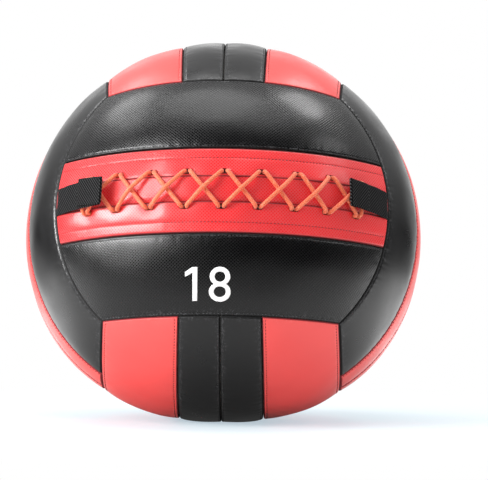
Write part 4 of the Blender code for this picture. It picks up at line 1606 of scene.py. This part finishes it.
    def build(self) -> None:
        """Model the lace as one tube with the relief of its braid, and its knot."""
        route = self.even_route()
        onwards = unit(np.gradient(route, axis=0))
        across = np.zeros_like(route)
        across[0] = np.cross(onwards[0], (0.0, 0.0, 1.0))
        for index in range(1, len(route)):
            across[index] = unit(across[index - 1] - onwards[index] * (across[index - 1] @ onwards[index]))
        upward = np.cross(onwards, across)
        angle = math.tau * np.arange(self.ring_sides) / self.ring_sides
        reached = self.ring_step * np.arange(len(route))
        twist = math.pi * reached[:, None] / self.strand_pitch
        strand = np.abs(np.cos(self.strand_pairs * angle + twist) * np.cos(self.strand_pairs * angle - twist))
        radius = self.band.cord_radius - self.tautness - self.relief * (1 - strand)
        cos, sin = np.cos(angle)[:, None], np.sin(angle)[:, None]
        tube = radius[..., None] * (cos * across[:, None, :] + sin * upward[:, None, :])
        self.dress("lace_braided", route[:, None, :] + tube, "lace", cloth_grid(reached, angle / math.tau))
        self.knot(route[0], route[-1])

    def knot(self, start: Array, finish: Array) -> None:
        """Model the knot, as turns of cord wound side by side.

        Args:
            start, finish: the lace's two ends, with the knot between them.
        """
        axis = Vector(finish - start).normalized()
        turn = np.array(axis.to_track_quat("Z", "Y").to_matrix())
        cord = self.knot_length / (2 * self.knot_turns)
        share = np.linspace(0, 1, self.knot_steps + 1)[:, None]
        swing = math.tau * self.knot_turns * share
        angle = math.tau * np.arange(self.knot_sides) / self.knot_sides
        reach = self.knot_radius - cord + cord * np.cos(angle)
        lane = (share - 0.5) * (self.knot_length - 2 * cord) + cord * np.sin(angle)
        rings = np.stack((reach * np.cos(swing), reach * np.sin(swing), lane), -1)
        self.dress("lace_knot_wound", rings @ turn.T + (start + finish) / 2, "lace_knot")


@dataclass
class WebbingTab:
    """A strip of webbing sewn into a side seam and turned back on itself."""

    form: BallForm
    body: str
    side: int
    length: float
    turned_back: float
    turn: float
    skew: float
    width: float = 25.0 * MILLIMETRE
    thickness: float = 1.5 * MILLIMETRE
    seam_depth: float = 2.0 * MILLIMETRE
    seam_roll: float = 6.0 * MILLIMETRE
    fold_gap: float = 0.4 * MILLIMETRE
    fold_steps: int = 12
    pinch_run: float = 3.0 * MILLIMETRE
    pinched_least: float = 0.3
    pinched_gain: float = 0.7
    sealed_run: float = 1.0 * MILLIMETRE
    sealed_least: float = 0.7
    sealed_gain: float = 0.3
    edge_least: float = 0.45
    edge_gain: float = 0.55
    edge_sharpness: int = 10
    clearance: float = 0.4 * MILLIMETRE
    bend_radius: float = 0.2450
    rise: float = math.radians(6.0)
    rib_pitch: float = 3.2 * MILLIMETRE
    rib_relief: float = 0.36 * MILLIMETRE
    edge_wave: float = 0.25 * MILLIMETRE
    edge_wave_length: float = 21.0 * MILLIMETRE
    selvedge: float = 0.22 * MILLIMETRE
    selvedge_from: float = 0.49
    cell: float = 0.5 * MILLIMETRE
    root_steps: int = 11
    lanes: int = 41

    @property
    def hinge_depth(self) -> float:
        """Depth of the hinge, at the middle of the webbing's sewn root."""
        return self.seam_depth - self.thickness / 2 - self.clearance

    def hinge(self) -> Matrix:
        """Find the hinge, at the middle of the root in the seam.

        Returns:
            Its world matrix: X along the tab, Y along the seam, Z outwards.
        """
        form = self.form
        middle = form.band_middle
        side = (np.array([middle.offset]), np.array([middle.slope]))
        height = -self.hinge_depth
        end = Cut.edge(form.side_edge_seam)
        radius = 1 + height / form.radius
        reach = form.reach((side[0] / radius, side[1]), Cut(end.offset / radius, end.slope))
        course = form.course(Face.FRONT, side, self.side * reach, height)
        root = form.on_skin(course, np.array([height]))[0]
        outwards = Vector(form.upright(course)[0]).normalized()
        seam = Vector(form.upright(np.array([0.0, 0.0, 1.0])))
        seam = (seam - seam.dot(outwards) * outwards).normalized() * -self.side
        seam.rotate(Matrix.Rotation(self.turn * -self.side, 3, outwards))
        axes = Matrix((seam.cross(outwards), seam, outwards)).transposed().to_4x4()
        return Matrix.Translation(Vector(root)) @ axes

    def line(self) -> tuple[Array, Array, float]:
        """Draw the webbing's middle line, from its root over its fold to its cut end.

        Returns:
            Its points as (distance, height), how far each lies along it, and where the fold starts.
        """
        half = self.thickness / 2
        fold = (self.thickness + self.fold_gap) / 2
        start = np.array((self.seam_roll + self.thickness, self.hinge_depth + self.clearance + half))
        run = self.length - start[0] - fold - half
        back = self.turned_back - fold - half

        def square(distance: float) -> Array:
            """Direction square to the line."""
            heading = self.rise - distance / self.bend_radius
            return np.array((-math.sin(heading), math.cos(heading)))

        def place(distance: float, lift: float) -> Array:
            """Point of the line, or over it."""
            return start + square(distance) * (self.bend_radius + lift) - square(0) * self.bend_radius

        shares = np.arange(self.root_steps) / self.root_steps
        points = [start * (share, share * share * (3 - 2 * share)) for share in shares]
        points += [place(distance, 0) for distance in np.arange(0, run, self.cell)]
        before = len(points)
        outwards = square(run)
        onwards = np.array((outwards[1], -outwards[0]))
        for step in range(self.fold_steps + 1):
            angle = math.pi * (step / self.fold_steps - 0.5)
            points.append(place(run, fold) + (onwards * math.cos(angle) + outwards * math.sin(angle)) * fold)
        points += [place(run - distance, 2 * fold) for distance in np.arange(self.cell, back, self.cell)]
        line = np.array(points)
        reached = distances(line)
        return line, reached, float(reached[before])

    def layer(self, face: int) -> Array:
        """Lay out one face of the webbing, with ribs, waving edges and a sealed cut end.

        Args:
            face: 1 for the upper face, or -1 for the lower one.

        Returns:
            Its points in the hinge's frame, by rows along the webbing and lanes across it.
        """
        line, reached, fold_at = self.line()
        onwards = unit(np.gradient(line, axis=0))
        square = np.stack((-onwards[:, 1], onwards[:, 0]), -1)
        reached = reached[:, None]
        across = np.linspace(-0.5, 0.5, self.lanes)
        places = across * self.width
        ribs = np.abs(np.sin(math.pi * (reached + face * places) / self.rib_pitch))
        inside = 1 - np.abs(across * 2) ** self.edge_sharpness
        rounded = self.thickness / 2 * (self.edge_least + self.edge_gain * inside)
        sealed = np.clip((reached[-1] - reached) / self.sealed_run, 0, 1)
        pinched = np.clip(reached / self.pinch_run, 0, 1)
        cut_end = self.sealed_least + self.sealed_gain * sealed
        root = self.pinched_least + self.pinched_gain * pinched
        depth = (rounded - self.rib_relief * (1 - ribs)) * (cut_end * root)
        wave = self.edge_wave * np.sin(math.tau * reached / self.edge_wave_length + face) * np.abs(across * 2)
        flat = line[:, None, :] + square[:, None, :] * (face * depth + wave * pinched)[..., None]
        slide = np.clip(reached - fold_at, 0, None) * math.tan(self.skew)
        selvedge = self.selvedge * np.abs(np.sin(math.pi * reached / self.rib_pitch))
        sideways = places + slide + selvedge * np.sign(across) * (np.abs(across) > self.selvedge_from)
        return np.stack((flat[..., 0], sideways, flat[..., 1]), -1)

    def build(self, finish: Material) -> None:
        """Model the strip as two faces and the rim between them, and dress it.

        Args:
            finish: the webbing's material.
        """
        points = np.stack((self.layer(1), self.layer(-1)))
        grid = np.arange(points[..., 0].size).reshape(points.shape[:3])
        faces = []
        for sheet, order in zip(grid, (1, -1)):
            quads = np.stack((sheet[:-1, :-1], sheet[1:, :-1], sheet[1:, 1:], sheet[:-1, 1:]), -1)
            faces += quads[..., ::order].reshape(-1, 4).tolist()
        top = grid[0]
        rim = np.concatenate((top[0], top[1:, -1], top[-1, -2::-1], top[-2:0:-1, 0])).tolist()
        for one, two in zip(rim, rim[1:] + rim[:1]):
            faces.append((one, two, two + top.size, one + top.size))
        hinge = np.array(self.hinge())
        world = points.reshape(-1, 3) @ hinge[:3, :3].T + hinge[:3, 3]
        piece = add_mesh(f"{self.body}_webbing", world, faces)
        cloth = cloth_grid(self.line()[1], np.linspace(-0.5, 0.5, self.lanes) * self.width)
        set_uv(piece, np.concatenate((cloth, cloth * (1, -1))))
        face_outwards(piece)
        finish_piece(piece, finish, "webbing", self.body, self.body)


@dataclass
class WeightMark:
    """A plain white number on the lower front panel."""

    form: BallForm
    text: str = "18"
    curve_steps: int = 12
    cap_height: float = 31.0 * MILLIMETRE
    centre_across: float = -11.0 * MILLIMETRE
    centre_rise: float = -38.0 * MILLIMETRE
    thickness: float = 0.18 * MILLIMETRE
    gap: float = 0.02 * MILLIMETRE
    cell: float = 1.5 * MILLIMETRE
    flag_left: float = 0.202
    flag_top: float = 0.682
    flag_corners: tuple[tuple[float, float], ...] = (
        (-0.15, -0.20), (0.0, -0.115), (-0.15, -0.10), (0.0, 0.0)
    )

    def build(self, finish: Material, ground: Piece) -> None:
        """Draw the number flat, give its one a longer flag, cut it into small cells, and lay it on the panel.

        Args:
            finish: the print's material.
            ground: the panel that it is printed on.
        """
        deselect()
        bpy.ops.object.text_add()
        piece = take_new("weight_number")
        piece.data.body = self.text
        piece.data.resolution_u = self.curve_steps
        pick(piece)
        bpy.ops.object.convert(target="MESH")
        piece = bpy.context.object
        bpy.ops.mesh.primitive_plane_add(size=1)
        flag = take_new("flag_of_the_one")
        corners = [(self.flag_left + x, self.flag_top + y, 0.0) for x, y in self.flag_corners]
        set_places(flag, np.array(corners))
        piece.select_set(True)
        bpy.context.view_layer.objects.active = piece
        bpy.ops.object.join()
        places = get_vectors(piece)
        low, high = places[:, :2].min(0), places[:, :2].max(0)
        places[:, :2] -= (high + low) / 2
        places *= self.cap_height / (high - low)[1]
        set_places(piece, places)
        bpy.ops.object.mode_set(mode="EDIT")
        for axis, reach in ((0, np.abs(places[:, 0]).max()), (1, self.cap_height / 2)):
            cut_across(np.arange(-reach + self.cell / 2, reach, self.cell), axis)
        bpy.ops.object.mode_set(mode="OBJECT")
        self.lay_on(piece, ground)
        apply_modifier(piece, "SOLIDIFY", thickness=self.thickness, offset=1.0)
        face_outwards(piece)
        finish_piece(piece, finish, "black_vinyl")

    def lay_on(self, piece: Piece, ground: Piece) -> None:
        """Move the flat number along Y on to the panel's surface.

        Args:
            piece: the number.
            ground: the panel.
        """
        places = get_vectors(piece)
        centre = Vector((self.centre_across, 0.0, self.form.lower_half + self.centre_rise))
        for place in places:
            start = centre + Vector((place[0], -1.0, place[1]))
            found, spot, normal, _ = ground.ray_cast(start, Vector((0.0, 1.0, 0.0)))
            if found:
                place[:] = spot + normal * self.gap
        set_places(piece, places)
        face_outwards(piece, Vector((0.0, -1.0, 0.0)))


@dataclass
class Insides:
    """What the skin holds: each piece is its node's shape, made finer and given folds or lumps."""

    nodes: dict[str, Piece]
    finishes: dict[str, Material]
    fill: float = 0.7
    first_seed: int = 60

    def build(self) -> None:
        """Model and dress the liner, the fill and the weight bag with its tie and sand."""
        plan = (
            ("liner_bag", "sewn", "canvas", 2, 0.25, (0.05, 0.021)),
            ("fill_upper", "lumpy", "fibre", 2, 0.35, (0.04, 0.018)),
            ("fill_lower", "lumpy", "fibre", 2, 0.35, (0.04, 0.018)),
            ("weight_bag", "gathered", "bag_cloth", 2, 0.25, (0.03, 0.013)),
            ("iron_sand", "heap", "iron_sand", 2, 0.12, (0.01, 0.004)),
            ("bag_tie", "wound", "tie_cord", 1, 0.12, (0.006, 0.003)),
        )
        for seed, (node, form, finish, levels, depth, lengths) in enumerate(plan, self.first_seed):
            piece = add_piece(f"{node}_{form}", self.nodes[node].data.copy())
            face_outwards(piece)
            apply_modifier(piece, "SUBSURF", subdivision_type="SIMPLE", levels=levels, render_levels=levels)
            places = get_vectors(piece)
            inwards = depth * MILLIMETRE * (waves(places, lengths, seed) - 1) / 2
            inwards = np.clip(inwards, -depth * MILLIMETRE, 0)[:, None]
            set_places(piece, places + get_vectors(piece, "normal") * inwards)
            fill = self.fill if finish == "fibre" else 0.0
            finish_piece(piece, self.finishes[finish], finish, node=node, fill=fill)


# Stage
@dataclass
class Studio:
    """White floor and surround, soft lamps, and the camera at the photograph's viewing angle."""

    form: BallForm
    image_width: float = 488.0
    image_height: float = 480.0
    centre_pixel: tuple[float, float] = (223.55, 240.05)
    focal_pixels: float = 3072.9
    sensor: float = 36.0
    distance: float = 15.67
    elevation: float = math.radians(0.36)
    azimuth: float = math.radians(0.8)
    roll: float = math.radians(0.57)
    lamp_distance: float = 1.6
    floor_radius: float = 0.8
    floor_sides: int = 96
    floor_drop: float = 0.1 * MILLIMETRE

    def build(self) -> None:
        """Set up the floor, the world, the lamps and the camera."""
        self.floor()
        self.world()
        self.lamps()
        self.camera()

    def floor(self) -> None:
        """A round white floor that keeps the ball's shadow and turns into plain white further out; in
        reflections it is a glow with a painted shadow near the ball.
        """
        deselect()
        bpy.ops.mesh.primitive_circle_add(
            vertices=self.floor_sides, radius=self.floor_radius, fill_type="NGON",
            location=(0, 0, -self.floor_drop),
        )
        floor = take_new("studio_floor")
        bpy.ops.object.transform_apply(location=True)
        board = NodeBoard("studio_floor")
        board.tree.nodes.remove(board.shader)
        forward = board.parts("Object")[1]
        reach = board.add("VectorMath", {0: board.coordinates("Object")}, operation="LENGTH").outputs["Value"]
        plain = board.add("BsdfDiffuse", {"Color": (0.80, 0.80, 0.80, 1.0)}).outputs[0]
        shaded = board.add("BsdfDiffuse", {"Color": (0.40, 0.42, 0.41, 1.0)}).outputs[0]
        glow = board.add("Emission", {"Color": (0.47, 0.55, 0.61, 1.0)}).outputs[0]
        near = board.add("AddShader", {0: shaded, 1: glow}).outputs[0]
        white = board.add("Emission").outputs[0]
        away = board.between(reach, 0.20, 0.55, kind="SMOOTHSTEP")
        ground = board.choose("MixShader", away, near, white)
        # In reflections the floor is a glow, a painted reflection of a lit floor: dim in front, brighter
        # towards the back, and dimmed near the ball as a painted shadow of the ball.
        front = board.between(forward, -0.85, -0.35, 0.0, 0.45)
        depth = board.math("ADD", front, board.between(forward, -0.35, 0.20, 0.0, 1.45))
        clear = board.between(reach, 0.06, 0.34, 0.08, kind="SMOOTHSTEP")
        sheen = board.add("Emission", {"Strength": board.math("MULTIPLY", depth, clear)}).outputs[0]
        bounced = board.choose("MixShader", board.mirrored(), plain, sheen)
        surface = board.choose("MixShader", board.seen(), bounced, ground)
        board.feed(board.tree.nodes["Material Output"], {"Surface": surface})
        floor.data.materials.append(board.material)

    def world(self) -> None:
        """White for the camera, even light all round, and for reflections a room that is dark in front."""
        board = NodeBoard("studio", "worlds")
        bpy.context.scene.world = board.material
        sideways, forward, upward = board.parts("Generated")
        sky = board.between(upward, -0.3, 0.8, 0.78, 0.70)
        sky = board.math("ADD", sky, board.between(sideways, -0.2, 1.0, 0.0, 0.45))
        walls = board.between(upward, 0.0, 0.40, 0.03, 0.50)
        ground = board.between(upward, -0.25, -0.05, 1.0, 0.0)
        behind = board.between(forward, -0.35, 0.25)
        horizon = board.between(forward, 0.78, 0.95, 0.0, 1.2)
        room = board.math("MULTIPLY", board.math("MAXIMUM", walls, ground), behind)
        level = board.choose("Mix", board.mirrored(), sky, board.math("ADD", room, horizon))
        strength = board.choose("Mix", board.seen(), level, 1.0)
        board.feed(board.shader, {"Color": (1.0, 1.0, 1.0, 1.0), "Strength": strength})

    def lamps(self) -> None:
        """A bright wide box low at the left, and weaker ones round the top."""
        plan = (
            ("left_softbox", (-0.86, -0.49, 0.22), (1.5, 0.34), 21.0),
            ("front_left_softbox", (-0.61, -0.62, 0.49), (0.7, 0.45), 9.0),
            ("high_left_softbox", (-0.56, 0.25, 0.79), (0.80, 0.50), 4.4),
            ("overhead_softbox", (-0.03, -0.12, 0.99), (1.5, 0.90), 2.4),
            ("high_right_softbox", (0.49, 0.20, 0.85), (0.55, 0.45), 7.0),
            ("right_softbox", (0.80, -0.15, 0.58), (0.50, 0.40), 2.5),
        )
        target = Vector((0, 0, self.form.lower_half))
        for name, course, size, radiance in plan:
            data = bpy.data.lights.new(name, "AREA")
            data.shape = "ELLIPSE"
            data.size, data.size_y = size
            data.energy = radiance * math.pi**2 / 4 * size[0] * size[1]
            place = target + Vector(course) * self.lamp_distance
            aim = (target - place).to_track_quat("-Z", "Y")
            add_piece(name, data).matrix_world = Matrix.Translation(place) @ aim.to_matrix().to_4x4()

    def camera(self) -> None:
        """The camera, at the photograph's distance, height and framing."""
        data = bpy.data.cameras.new("camera")
        data.sensor_width = self.sensor
        data.lens = self.focal_pixels * self.sensor / self.image_width
        data.clip_start, data.clip_end = 0.1, 50.0
        away = self.distance * self.form.radius
        centre = Vector((0, 0, self.form.lower_half))
        spot = Vector((0, -away * math.cos(self.elevation), away * math.sin(self.elevation)))
        spot.rotate(Matrix.Rotation(self.azimuth, 3, "Z"))
        view = (-spot).to_track_quat("-Z", "Y").to_matrix()
        sideways = math.atan2(self.image_width / 2 - self.centre_pixel[0], self.focal_pixels)
        upwards = math.atan2(self.centre_pixel[1] - self.image_height / 2, self.focal_pixels)
        for angle, axis in ((self.roll, "Z"), (-sideways, "Y"), (upwards, "X")):
            view = view @ Matrix.Rotation(angle, 3, axis)
        camera = add_piece("camera", data)
        camera.matrix_world = Matrix.Translation(centre + spot) @ view.to_4x4()
        bpy.context.scene.camera = camera


def main() -> None:
    """Build the whole scene, piece by piece."""
    logging.basicConfig(level=logging.INFO)
    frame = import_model()
    bpy.context.scene.view_settings.view_transform = "Standard"
    form = BallForm()
    finishes = make_finishes()
    Skin(form, finishes).build()
    band = LacedBand(form, finishes)
    band.build()
    Lace(band, finishes["lace"]).build()
    for body, side, length, turned_back, turn, skew in (
        ("left_tab", -1, 76.0, 33.5, -3.5, 4.0),
        ("right_tab", 1, 64.5, 26.0, -1.0, 2.0),
    ):
        lengths = length * MILLIMETRE, turned_back * MILLIMETRE
        tab = WebbingTab(form, body, side, *lengths, math.radians(turn), math.radians(skew))
        tab.build(finishes["webbing"])
    WeightMark(form).build(finishes["white_print"], bpy.data.objects["front_lower_panel_padded"])
    Insides(frame["nodes"], finishes).build()
    Studio(form).build()


if __name__ == "__main__":
    main()
